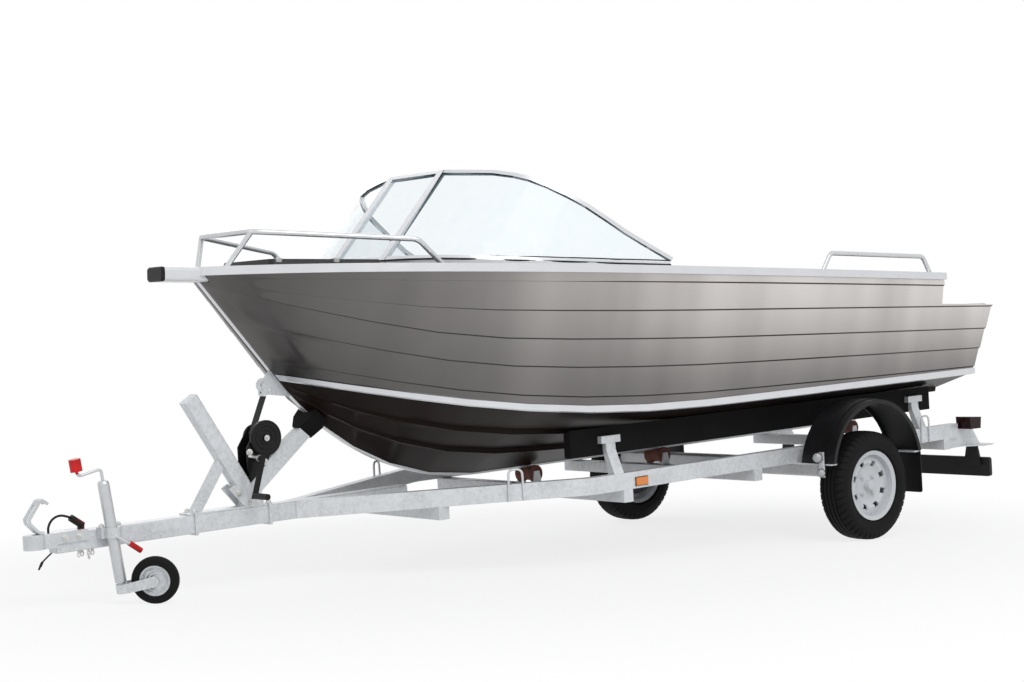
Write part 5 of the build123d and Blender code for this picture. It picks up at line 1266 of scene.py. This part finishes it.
@dataclass
class ScreenSeal:
    """Black beads along the foot of the windscreen: a rubber gasket on the panes, and a bead on the deck that is
    painted shadow under the foot.
    """

    parking: Parking
    # level points of the foot's middle line on the port side, from aft
    foot: tuple[Point, ...] = (
        (1368.0, 880.0, 1206.0), (1690.0, 855.0, 1224.0), (1965.0, 812.0, 1243.0), (2200.0, 727.0, 1261.0),
        (2375.0, 600.0, 1279.0), (2450.0, 500.0, 1288.0), (2512.0, 350.0, 1294.0), (2537.0, 221.0, 1296.0),
    )
    fine: int = 6               # steps from one point to the next
    spread: float = 0.0125
    drop: float = 0.005
    # the deck bead is painted shadow under the windscreen's foot
    foot_shadow_bead: float = 0.0045
    foot_shadow_sides: int = 10
    pane_lift: float = 0.017
    pane_bead: float = 0.003
    pane_sides: int = 8
    probe: float = 0.02         # how far outside the foot the pane is looked for
    proud: float = 0.002
    bow_pull: float = 0.4       # weight of the way ahead in telling outside from inside
    outside: float = -0.05
    crease: float = 60.0

    def line(self) -> list[Vector]:
        """Draw the foot's middle line round the bow.

        Returns:
            Its points from port to starboard.
        """
        port = [self.parking.point(*spot) for spot in self.foot]
        coarse = port + [Vector((spot.x, -spot.y, spot.z)) for spot in reversed(port)]
        line = []
        for here, there in zip(coarse, coarse[1:]):
            line += [here.lerp(there, step / self.fine) for step in range(self.fine)]
        return line + [coarse[-1]]

    def build(self) -> None:
        """Build both beads."""
        line = self.line()
        panes = surface_of("windscreen_glass")
        in_foot_shadow, on_pane = [], []
        for index, spot in enumerate(line):
            way = line[min(index + 1, len(line) - 1)] - line[max(index - 1, 0)]
            out = Vector((-way.y, way.x, 0.0)).normalized()
            out = out if out.x * self.bow_pull + out.y * spot.y > self.outside else -out
            in_foot_shadow.append(spot + out * self.spread - Vector((0, 0, self.drop)))
            place, _, _, _ = panes.find_nearest(spot + Vector((0, 0, self.pane_lift)) + out * self.probe)
            on_pane.append(place + out * self.proud)
        for name, path, bead, sides in (
            ("screen_deck_seal", in_foot_shadow, self.foot_shadow_bead, self.foot_shadow_sides),
            ("screen_pane_seal", on_pane, self.pane_bead, self.pane_sides),
        ):
            Piece(name).tube(path, bead, sides).done(GASKET_AND_FOOT_SHADOW, Body.STAND, "black_plastic", self.crease)


@dataclass
class MarkerLamps:
    """Domed front marker lamps on posts ahead of the mudguards."""

    parking: Parking
    post: Point = (374.2, 915.0, 146.0)
    post_size: Point = (0.010, 0.030, 0.130)
    post_bevel: float = 0.002
    # level place of the lamp's back, and its radius in metres
    lamps: tuple[tuple[Point, float], ...] = (((384.0, 899.0, 184.0), 0.026), ((384.0, 919.0, 106.0), 0.022))
    # outline of the back as (share of the lamp's radius, metres ahead of its place)
    back: tuple[tuple[float, float], ...] = (
        (0.0, 0.0), (0.8, 0.0), (1.0, 0.006), (1.0, 0.013), (0.9, 0.013), (0.0, 0.013),
    )
    lens_share: float = 0.93
    lens_foot: float = 0.0133
    lens_steps: int = 8
    depth: float = 0.030
    outward: float = 0.55
    sides: int = 32
    crease: float = 60.0

    def dome(self, radius: float) -> list[tuple[float, float]]:
        """Draw the outline of a lens.

        Args:
            radius: Radius of the lamp.

        Returns:
            Points as (radius, height) from the middle of its foot to its top.
        """
        rise = self.depth - self.lens_foot
        curve = [(radius * self.lens_share * math.cos(a), self.lens_foot + rise * math.sin(a))
                 for a in (math.pi / 2 * step / self.lens_steps for step in range(self.lens_steps))]
        return [(0.0, self.lens_foot), *curve, (0.0, self.depth)]

    def build(self) -> None:
        """Build the posts, the lamps' black backs and the lenses."""
        post, backs, lenses = Piece("marker_posts"), Piece("marker_backs"), Piece("marker_lenses")
        x, y, z = self.post
        for hand in SIDES:
            upright = Piece.frame(self.parking.point(x, y * hand, z), self.parking.direction(0, 0, 1),
                                  self.parking.direction(1, 0, 0))
            post.block(upright, self.post_size, self.post_bevel)
            axis = self.parking.direction(1.0, self.outward * hand, 0.0).normalized()
            for (u, v, w), radius in self.lamps:
                foot = self.parking.point(u, v * hand, w)
                backs.lathe(foot, axis, [(radius * share, height) for share, height in self.back], self.sides)
                lenses.lathe(foot, axis, self.dome(radius), self.sides)
        post.done(ZINC, Body.STAND, "galvanised")
        backs.done(BLACK, Body.STAND, "black_plastic")
        made = lenses.done(WHITE_LENS, Body.STAND, "lamp_white", self.crease)
        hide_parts("marker_lamps")


@dataclass
class Fasteners:
    """Bolts of the coupling, the winch post's straps and plates, the winch's cheek and the jockey clamp."""

    parking: Parking
    across: float = 0.019
    height: float = 0.012
    # name, level place in millimetres, whether there is one on each side, and whether the head looks up
    rows: tuple[tuple[str, Point, bool, bool], ...] = (
        ("coupling_aft", (4062.0, 47.3, 207.0), True, False),
        ("coupling_fore", (4128.0, 47.3, 207.0), True, False),
        ("post_strap_aft", (3131.7, 33.0, 234.4), True, True),
        ("post_strap_fore", (3509.7, 33.0, 234.4), True, True),
        ("post_plate_head", (3285.0, 38.2, 296.0), True, False),
        ("post_plate_foot", (3226.0, 38.2, 246.0), True, False),
        ("winch_cheek_fore", (3220.0, 40.2, 470.0), False, False),
        ("winch_cheek_aft", (3143.0, 40.2, 420.0), False, False),
        ("jockey_clamp_aft", (3892.0, 61.0, 232.1), False, True),
        ("jockey_clamp_fore", (3970.0, 61.0, 232.1), False, True),
    )

    def build(self) -> None:
        """Build one piece for each row."""
        for name, (x, y, z), paired, upward in self.rows:
            piece = Piece(f"bolt_{name}")
            for hand in SIDES if paired else SIDES[:1]:
                way = (0.0, 0.0, 1.0) if upward else (0.0, float(hand), 0.0)
                piece.hexagon(
                    self.parking.point(x, y * hand, z), self.parking.direction(*way), self.across, self.height,
                )
            piece.done(BRIGHT_BOLT, Body.STAND, "galvanised")


@dataclass
class WeldBeads:
    """Weld beads round the feet of the rails and up the seam of the drawbar."""

    parking: Parking
    tube: float = 0.0125
    bead: float = 0.0026
    deck_slope: float = 0.0503
    # level place of each foot on the deck and the way its tube rises
    feet: tuple[tuple[Point, Point], ...] = (
        ((2506.5, 599.6, 1251.3), (143.0, -17.0, 140.0)), ((3343.5, 112.0, 1293.4), (-84.0, 98.0, 150.0)),
        ((262.3, 895.2, 1140.3), (-85.3, -4.0, 104.0)), ((-658.5, 879.3, 1092.6), (64.5, -4.0, 111.4)),
    )
    seam_x: float = 2990.0
    seam_y: float = 41.0
    seam_z: tuple[float, float] = (148.0, 225.0)
    seam_steps: int = 24
    seam_share: float = 1.2     # of the bead at the feet
    ripple: float = 1.2
    steps: int = 28
    sides: int = 10

    def ring(self, foot: Point, rise: Point, hand: int) -> list[Vector]:
        """Go round a leaning tube where it meets the deck.

        Args:
            foot: Level place of the foot on the port side.
            rise: The way the tube rises.
            hand: Sign of y on this side.

        Returns:
            Points of the ring.
        """
        flat = rise[0] ** 2 + rise[1] ** 2
        stretch = (flat + rise[2] ** 2) ** 0.5 / rise[2] - 1.0
        spots = []
        for angle in turns(self.steps):
            u, v = math.cos(angle) * self.tube * 1000, math.sin(angle) * self.tube * 1000
            slide = (u * rise[0] + v * rise[1]) / flat
            x = u + rise[0] * slide * stretch
            y = v + rise[1] * slide * stretch
            spots.append(self.parking.point(foot[0] + x, (foot[1] + y) * hand, foot[2] + x * self.deck_slope))
        return spots

    def seam(self, hand: int) -> list[Vector]:
        """Go up the drawbar's seam with a slight ripple.

        Args:
            hand: Sign of y on this side.

        Returns:
            Points of the seam.
        """
        low, high = self.seam_z
        return [
            self.parking.point(self.seam_x + self.ripple * (k % 2), self.seam_y * hand,
                               low + (high - low) * k / self.seam_steps)
            for k in range(self.seam_steps + 1)
        ]

    def build(self) -> None:
        """Build the beads of both sides."""
        feet, seams = Piece("rail_foot_welds"), Piece("drawbar_welds")
        for hand in SIDES:
            for foot, rise in self.feet:
                feet.tube(self.ring(foot, rise, hand), self.bead, self.sides, closed=True)
            seams.tube(self.seam(hand), self.bead * self.seam_share, self.sides)
        feet.done(TRIM, Body.STAND, "bright_trim")
        seams.done(ZINC, Body.STAND, "galvanised")


@dataclass
class SideReflectors:
    """Amber reflectors on the outside of the trailer's rails."""

    parking: Parking
    x: tuple[float, float] = (1428.0, 1512.0)
    z: tuple[float, float] = (156.0, 200.0)
    rail: float = 719.0
    thick: float = 8.0
    tray_share: float = 0.5     # of the lens's thickness
    edge: float = 0.003         # of the tray, seen round the lens
    bevel: float = 0.0014

    def build(self) -> None:
        """Build a lens in a shallow black tray on each side."""
        length, height = (self.x[1] - self.x[0]) / 1000, (self.z[1] - self.z[0]) / 1000
        tray, lens = Piece("reflector_trays"), Piece("reflector_lenses")
        ahead = self.parking.direction(1.0, 0.0, 0.0)
        for hand in SIDES:
            for piece, inset, reach in ((tray, 0.0, self.tray_share), (lens, self.edge, 1.0)):
                depth = self.thick / 1000 * reach
                middle = self.parking.point(sum(self.x) / 2, self.rail * hand, sum(self.z) / 2)
                middle.y += hand * depth / 2
                matrix = Piece.frame(middle, Vector((0.0, hand, 0.0)), ahead)
                piece.block(matrix, (length - inset * 2, height - inset * 2, depth), self.bevel)
        tray.done(BLACK, Body.STAND, "black_plastic")
        lens.done(AMBER_LENS, Body.STAND, "lamp_red")


@dataclass
class HatchClips:
    """Pale catches that wrap the edge of the foredeck hatch."""

    parking: Parking
    xs: tuple[float, ...] = (3119.0, 2866.0)
    level: float = 1300.0
    size: Point = (0.026, 0.03, 0.02)
    proud: float = 0.004
    bevel: float = 0.003
    probe: Point = (0.0, 1.0, -0.012)   # from the hatch's top to where its edge is looked for
    # outline of the button as (radius, height)
    button: tuple[tuple[float, float], ...] = ((0, 0), (0.006, 0), (0.006, 0.002), (0.003, 0.004), (0, 0.004))
    button_sides: int = 16

    def build(self) -> None:
        """Build the catches along the hatch's port and starboard edges."""
        hatch = surface_of("bow_hatch")
        _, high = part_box("bow_hatch")
        piece = Piece("hatch_catches")
        for hand in SIDES:
            for x in self.xs:
                along = self.parking.point(x, 0.0, self.level).x
                outside = Vector((along + self.probe[0], hand * self.probe[1], high.z + self.probe[2]))
                edge, _, _, _ = hatch.ray_cast(outside, Vector((0, -hand, 0)))
                middle = Vector((along, edge.y + hand * (self.proud - self.size[1] / 2),
                                 high.z + self.proud - self.size[2] / 2))
                piece.block(Matrix.Translation(middle), self.size, self.bevel)
                top = middle + Vector((0.0, 0.0, self.size[2] / 2))
                piece.lathe(top, Vector((0, 0, 1)), self.button, self.button_sides)
        piece.done(PALE, Body.HATCH, "lamp_white")


@dataclass
class SafetyChain:
    """Short strands of welded links, gathered up under the drawbar behind the coupling."""

    parking: Parking
    # level place of each staple, and its number of links
    strands: tuple[tuple[Point, int], ...] = (
        ((4018.0, 30.0, 145.0), 2), ((4040.0, 14.0, 145.0), 1), ((3996.0, 20.0, 145.0), 1), ((4062.0, 30.0, 145.0), 1),
    )
    pitch: float = 14.0
    wire: float = 0.003
    wire_sides: int = 12
    half: tuple[float, float] = (6.5, 10.0)
    steps: int = 24
    crease: float = 60.0
    staple_depth: float = 9.0
    nest: float = 4.0           # how far the first link reaches up into its staple
    staple: tuple[tuple[float, float], ...] = (
        (-7.0, 0.5), (-7.0, -4.0), (-4.0, -8.0), (0.0, -9.5), (4.0, -8.0), (7.0, -4.0), (7.0, 0.5),
    )

    def link(self, middle: Point, turned: bool) -> list[Vector]:
        """Go round one oval link.

        Args:
            middle: Level place of its middle.
            turned: Whether it stands across the drawbar.

        Returns:
            Points of the link.
        """
        spots = []
        for angle in turns(self.steps):
            across = math.cos(angle) * self.half[0]
            up = math.sin(angle) * self.half[1]
            x, y = (0.0, across) if turned else (across, 0.0)
            spots.append(self.parking.point(middle[0] + x, middle[1] + y, middle[2] + up))
        return spots

    def build(self) -> None:
        """Build the staples and the links below them."""
        piece = Piece("safety_chain")
        for (x, y, z), links in self.strands:
            staple = [self.parking.point(x, y + dy, z + dz) for dy, dz in self.staple]
            piece.tube(staple, self.wire, self.wire_sides)
            for index in range(links):
                drop = self.staple_depth + self.half[1] - self.nest + index * self.pitch
                piece.tube(self.link((x, y, z - drop), index % 2 == 1), self.wire, self.wire_sides, closed=True)
        piece.done(BRIGHT_BOLT, Body.STAND, "galvanised", self.crease)


@dataclass
class WinchGear:
    """Bright pinion, pawl and axle nut of the winch, and the rings on its cover."""

    parking: Parking
    # level x and z of the handle's shaft and the drum's axle
    shaft: tuple[float, float] = (3177.7, 440.0)
    drum: tuple[float, float] = (3135.7, 526.0)
    face: float = 41.0
    width: float = 18.0
    teeth: int = 14
    tip: float = 15.2
    root: float = 12.6
    tooth: tuple[bool, ...] = (True, True, False, False)    # whether each point of a tooth is at its tip
    pawl: Point = (3205.0, 47.0, 448.0)
    pawl_way: Point = (1.0, 0.0, 0.25)
    pawl_size: Point = (0.05, 0.011, 0.012)
    pawl_bevel: float = 0.002
    cover: float = 52.0
    rings: tuple[float, ...] = (75.0, 52.0, 32.0)
    ring_wire: float = 0.0026
    ring_steps: int = 48
    ring_sides: int = 10
    ring_crease: float = 50.0
    nut: float = 58.0
    nut_size: tuple[float, float] = (0.017, 0.009)          # across the flats, height
    crease: float = 20.0

    def spot(self, centre: tuple[float, float], y: float, reach: float, angle: float) -> Vector:
        """Place at a reach and an angle round a shaft."""
        return self.parking.point(centre[0] + reach * math.cos(angle), y, centre[1] + reach * math.sin(angle))

    def pinion(self, gear: Piece) -> None:
        """Add the toothed ring on the handle's shaft.

        Args:
            gear: Piece to add to.
        """
        reaches = [self.tip if high else self.root for high in self.tooth] * self.teeth
        rings = [
            [gear.mesh.verts.new(self.spot(self.shaft, y, reach, angle))
             for reach, angle in zip(reaches, turns(len(reaches)))]
            for y in (self.face, self.face + self.width)
        ]
        near, far = rings
        for k in range(len(reaches)):
            m = (k + 1) % len(reaches)
            gear.mesh.faces.new((near[k], near[m], far[m], far[k]))
        for ring in rings:
            gear.mesh.faces.new(ring)

    def build(self) -> None:
        """Build the bright pieces and the cover's rings."""
        gear, cover = Piece("winch_pinion"), Piece("winch_cover_rings")
        outboard = Vector((0, 1, 0))
        pawl = Piece.frame(self.parking.point(*self.pawl), outboard, self.parking.direction(*self.pawl_way))
        gear.block(pawl, self.pawl_size, self.pawl_bevel)
        self.pinion(gear)
        for ring in self.rings:
            cover.tube([self.spot(self.drum, self.cover, ring, angle) for angle in turns(self.ring_steps)],
                       self.ring_wire, self.ring_sides, closed=True)
        cover.done(WINCH, Body.STAND, "winch_black", self.ring_crease)
        gear.hexagon(self.parking.point(self.drum[0], self.nut, self.drum[1]), outboard, *self.nut_size)
        gear.done(BRIGHT_BOLT, Body.STAND, "galvanised", self.crease)


@dataclass
class BreakawayCable:
    """A stiff black cable that leaves the coupling's side and ends in a crimped sleeve."""

    parking: Parking
    route: tuple[Point, ...] = (
        (4112.0, -51.8, 196.0), (4118.0, -52.4, 172.0), (4136.0, -53.0, 146.0), (4168.0, -53.0, 124.0),
        (4190.0, -53.0, 106.0),
    )
    thick: float = 0.007
    round_steps: int = 4
    route_steps: int = 8
    order: int = 3
    sleeve: tuple[Point, Point] = ((4186.0, -53.0, 110.0), (4206.0, -53.0, 78.0))
    # outline of the sleeve as (radius, share of its length, metres past that)
    sleeve_shape: tuple[Point, ...] = (
        (0.0, 0.0, 0.0), (0.0045, 0.0, 0.0), (0.0058, 0.0, 0.004), (0.0058, 0.55, 0.0), (0.0042, 0.62, 0.0),
        (0.0042, 0.9, 0.0), (0.002, 1.0, 0.0), (0.0, 1.0, 0.0),
    )
    sleeve_sides: int = 20
    length: float = 0.122

    def build(self) -> None:
        data = bpy.data.curves.new("breakaway_cable", "CURVE")
        data.dimensions = "3D"
        data.bevel_depth = self.thick / 2
        data.bevel_resolution = self.round_steps
        data.use_fill_caps = True
        spline = data.splines.new("NURBS")
        spline.points.add(len(self.route) - 1)
        for point, spot in zip(spline.points, self.route):
            point.co = (*self.parking.point(*spot), 1.0)
        spline.order_u = self.order
        spline.use_endpoint_u = True
        spline.resolution_u = self.route_steps
        cable = placed("breakaway_cable", data)
        data.materials.append(BLACK.material())
        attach(cable, Body.STAND.value)
        piece = Piece("breakaway_sleeve")
        start, end = (self.parking.point(*spot) for spot in self.sleeve)
        span = (end - start).length
        outline = [(radius, span * share + past) for radius, share, past in self.sleeve_shape]
        piece.lathe(start, end - start, outline, self.sleeve_sides)
        tip = piece.done(BLACK, Body.STAND, "black_plastic")
        tuple(self.parking.point(*self.route[0]))


@dataclass
class Studio:
    """Camera, floor and light."""

    parking: Parking
    focal: float = 1781.2
    frame_width: int = 1024
    yaw: float = math.radians(-130.42)
    pitch: float = math.radians(0.29)
    roll: float = math.radians(1.13)
    eye: Point = (7.470, 6.820, 1.030)
    sensor: float = 36.0
    clip: tuple[float, float] = (0.1, 200.0)
    floor_half: float = 60.0
    floor_tones: tuple[float, float] = (0.80, 0.84)
    floor_blotches: float = 0.6         # to the metre
    floor_white: float = 0.8            # share of plain white at the boat; beyond the shadow it is one
    shadow_reach: tuple[float, float] = (1.6, 3.6)
    shadow_squeeze: float = 0.8         # of the shadow's length
    sky_colour: Point = (0.93, 0.96, 1.0)
    sky_strength: float = 0.55
    # softboxes as name, place, target, watts and metres across
    lamps: tuple[tuple[str, Point, Point, float, float], ...] = (
        ("key_softbox", (2.5, 7.5, 7.5), (0.0, 0.3, 0.7), 430.0, 6.0),
        ("bow_softbox", (9.0, 1.0, 4.5), (1.5, 0.0, 0.8), 25.0, 4.0),
        ("far_softbox", (-3.0, -8.0, 6.0), (0.0, 0.0, 0.8), 170.0, 6.0),
    )

    def camera(self) -> None:
        """Build the camera at the photograph's angle."""
        forward = Vector((math.cos(self.yaw) * math.cos(self.pitch), math.sin(self.yaw) * math.cos(self.pitch),
                          math.sin(self.pitch)))
        right = Vector((math.sin(self.yaw), -math.cos(self.yaw), 0.0))
        down = forward.cross(right)
        across = right * math.cos(self.roll) + down * math.sin(self.roll)
        under = down * math.cos(self.roll) - right * math.sin(self.roll)
        data = bpy.data.cameras.new("photo_camera")
        data.sensor_width = self.sensor
        data.lens = self.focal * self.sensor / self.frame_width
        data.clip_start, data.clip_end = self.clip
        made = placed("photo_camera", data)
        turn = Matrix((across, -under, -forward)).transposed().to_4x4()
        made.matrix_world = Matrix.Translation(Vector(self.eye) + Vector((self.parking.axle_x, 0, 0))) @ turn
        bpy.context.scene.camera = made

    def floor(self) -> None:
        """Build a wide pale floor that shows white and keeps the shadow."""
        data = bpy.data.meshes.new("studio_floor")
        half = self.floor_half
        data.from_pydata([(-half, -half, 0), (half, -half, 0), (half, half, 0), (-half, half, 0)], [], [(0, 1, 2, 3)])
        made = placed("studio_floor", data)
        graph = Graph(bpy.data.materials.new("studio_floor"))
        dark, pale = ((tone, tone, tone) for tone in self.floor_tones)
        tone = graph.mix(graph.noise(self.floor_blotches), dark, pale)
        diffuse = graph.node("ShaderNodeBsdfDiffuse", {}, {"Color": tone})
        white = graph.node("ShaderNodeEmission", {}, {"Color": PURE_WHITE, "Strength": 1.0})
        away = ((graph.axis("X") * self.shadow_squeeze) ** 2.0 + graph.axis("Y") ** 2.0) ** 0.5
        clear = away.step(*self.shadow_reach) * (1.0 - self.floor_white) + self.floor_white
        seen = graph.rays(*SEEN_RAYS) * clear
        graph.close(graph.node("ShaderNodeMixShader", {}, {0: seen, 1: diffuse, 2: white}))
        data.materials.append(graph.owner)

    def sky(self) -> None:
        """Light the scene with an even, pale sky that shows white."""
        world = bpy.data.worlds.new("studio_sky")
        bpy.context.scene.world = world
        graph = Graph(world)
        plain = graph.node("ShaderNodeBackground", {}, {"Color": self.sky_colour, "Strength": self.sky_strength})
        white = graph.node("ShaderNodeBackground", {}, {"Color": PURE_WHITE, "Strength": 1.0})
        mixed = graph.node("ShaderNodeMixShader", {}, {0: graph.rays(*SEEN_RAYS), 1: plain, 2: white})
        graph.close(mixed, "ShaderNodeOutputWorld")

    @staticmethod
    def lamp(name: str, place: Point, target: Point, power: float, size: float) -> None:
        """Add one soft square lamp.

        Args:
            name: Name of the lamp.
            place: Where it hangs.
            target: What it looks at.
            power: Its watts.
            size: Its width in metres.
        """
        data = bpy.data.lights.new(name, "AREA")
        data.energy = power
        data.size = size
        made = placed(name, data)
        made.location = place
        made.rotation_euler = (Vector(target) - Vector(place)).to_track_quat("-Z", "Y").to_euler()

    def build(self) -> None:
        """Build the whole studio."""
        bpy.context.scene.view_settings.view_transform = "Standard"
        self.camera()
        self.floor()
        self.sky()
        for row in self.lamps:
            self.lamp(*row)


def soften(solid: bpy.types.Object) -> None:
    """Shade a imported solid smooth, apart from its real edges.

    Args:
        solid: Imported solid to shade.
    """
    data = solid.data
    data.polygons.foreach_set("use_smooth", [True] * len(data.polygons))
    if data.has_custom_normals:
        data.attributes.remove(data.attributes["custom_normal"])
    weld = solid.modifiers.new("weld", "WELD")
    weld.merge_threshold = WELD_GAP
    split = solid.modifiers.new("real_edges", "EDGE_SPLIT")
    split.split_angle = math.radians(REAL_EDGE)


def dress_solids(frame: dict[str, Any]) -> None:
    """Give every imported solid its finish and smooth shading.
    """
    for name, solid in frame["nodes"].items():
        finish = NODE_FINISH.get(name, ZINC)
        solid.data.materials.clear()
        solid.data.materials.append(finish.material())
        soften(solid)
        LOG.info("solid %s: %s", name, finish.name)


def paint(node: str, finish: Finish, chosen: Callable[[Vector, Vector], bool]) -> None:
    """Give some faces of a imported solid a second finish.

    Args:
        node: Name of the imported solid.
        finish: Finish of the chosen faces.
        chosen: Test of a face's centre and normal.
    """
    data = bpy.data.objects[node].data
    data.materials.append(finish.material())
    place = len(data.materials) - 1
    count = 0
    for face in data.polygons:
        if chosen(face.center, face.normal):
            face.material_index = place
            count += 1
    LOG.info("solid %s: %d faces in %s", node, count, finish.name)


@dataclass
class SecondFinishes:
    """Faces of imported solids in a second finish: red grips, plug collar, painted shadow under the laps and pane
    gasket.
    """

    parking: Parking
    knob: Point = (4083.0, 84.0, 504.0)
    knob_reach: float = 0.038
    grip: tuple[Point, Point] = ((3878.0, 127.0, 158.0), (3829.0, 127.0, 121.0))   # ends of the clamp lever's grip
    grip_end: float = 1.05          # in lengths of the grip
    grip_radius: float = 0.0135
    plug_collar: float = 0.34       # share of the plug, from its aft end, that is red
    lap_face: float = -0.75         # the undersides of the laps look down more steeply than this
    lap_lowest: float = 0.78
    pane_gap: float = 0.014
    pane_step: float = 0.022        # along a face's normal, after which the pane has to be near
    pane_near: float = 0.011
    pane_across: float = 0.6        # cosine to the pane's normal above which a face is bare metal

    def __post_init__(self) -> None:
        """Look up what the tests compare with."""
        low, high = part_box("lead_plug")
        self.collar_x = low.x + (high.x - low.x) * self.plug_collar
        self.panes = surface_of("windscreen_glass")

    def on_knob(self, spot: Vector, _: Vector) -> bool:
        """Whether a face lies on the crank's knob."""
        return (spot - self.parking.point(*self.knob)).length < self.knob_reach

    def on_grip(self, spot: Vector, _: Vector) -> bool:
        """Tell the faces of the clamp lever's grip.

        Args:
            spot: Centre of a face.
            _: Its normal, which isn't needed.

        Returns:
            Whether the face lies on the grip.
        """
        start, end = (self.parking.point(*point) for point in self.grip)
        along = end - start
        share = (spot - start).dot(along) / along.length_squared
        return 0.0 <= share <= self.grip_end and (spot - start - along * share).length < self.grip_radius

    def on_collar(self, spot: Vector, _: Vector) -> bool:
        """Whether a face lies on the plug's red collar."""
        return spot.x < self.collar_x

    def under_lap(self, spot: Vector, normal: Vector) -> bool:
        """Whether a face is the underside of a plank's lap."""
        return normal.z < self.lap_face and spot.z > self.lap_lowest

    def beside_pane(self, spot: Vector, normal: Vector) -> bool:
        """Tell the faces of the frame that look along the pane they hold.

        Args:
            spot: Centre of a face.
            normal: Its normal.

        Returns:
            Whether the gasket covers the face.
        """
        _, across, _, gap = self.panes.find_nearest(spot)
        _, _, _, ahead = self.panes.find_nearest(spot + normal * self.pane_step)
        return gap < self.pane_gap and ahead < self.pane_near and abs(normal.dot(across)) < self.pane_across

    def build(self) -> None:
        """Paint the faces."""
        paint("jockey_crank", RED_GRIP, self.on_knob)
        paint("jockey_tube", RED_GRIP, self.on_grip)
        paint("lead_plug", RED_PLUG, self.on_collar)
        for hand in Hand:
            paint(f"hull_side_{hand.value}", LAP_SHADE, self.under_lap)
        paint("windscreen_frame", GASKET_AND_FOOT_SHADOW, self.beside_pane)


def main() -> None:
    """Build the scene in order."""
    logging.basicConfig(level=logging.INFO, format="%(message)s")
    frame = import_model()
    low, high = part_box("tyre_port")
    parking = Parking(axle_x=(low.x + high.x) / 2)
    Studio(parking).build()
    dress_solids(frame)
    for wheel in (RoadTyre, SteelWheel):
        for hand in Hand:
            wheel(hand).build()
    for name, node in (("seat_cushion", "seat_cushions"), ("seat_back", "seat_backs")):
        for hand in Hand:
            SeatPad(f"{name}_{hand.value}", node, hand).build()
    for assembly in (
        SecondFinishes, JockeyRings, ScreenSeal, MarkerLamps, Fasteners, WeldBeads, SideReflectors, HatchClips,
        SafetyChain, WinchGear, BreakawayCable,
    ):
        assembly(parking).build()


if __name__ == "__main__":
    main()
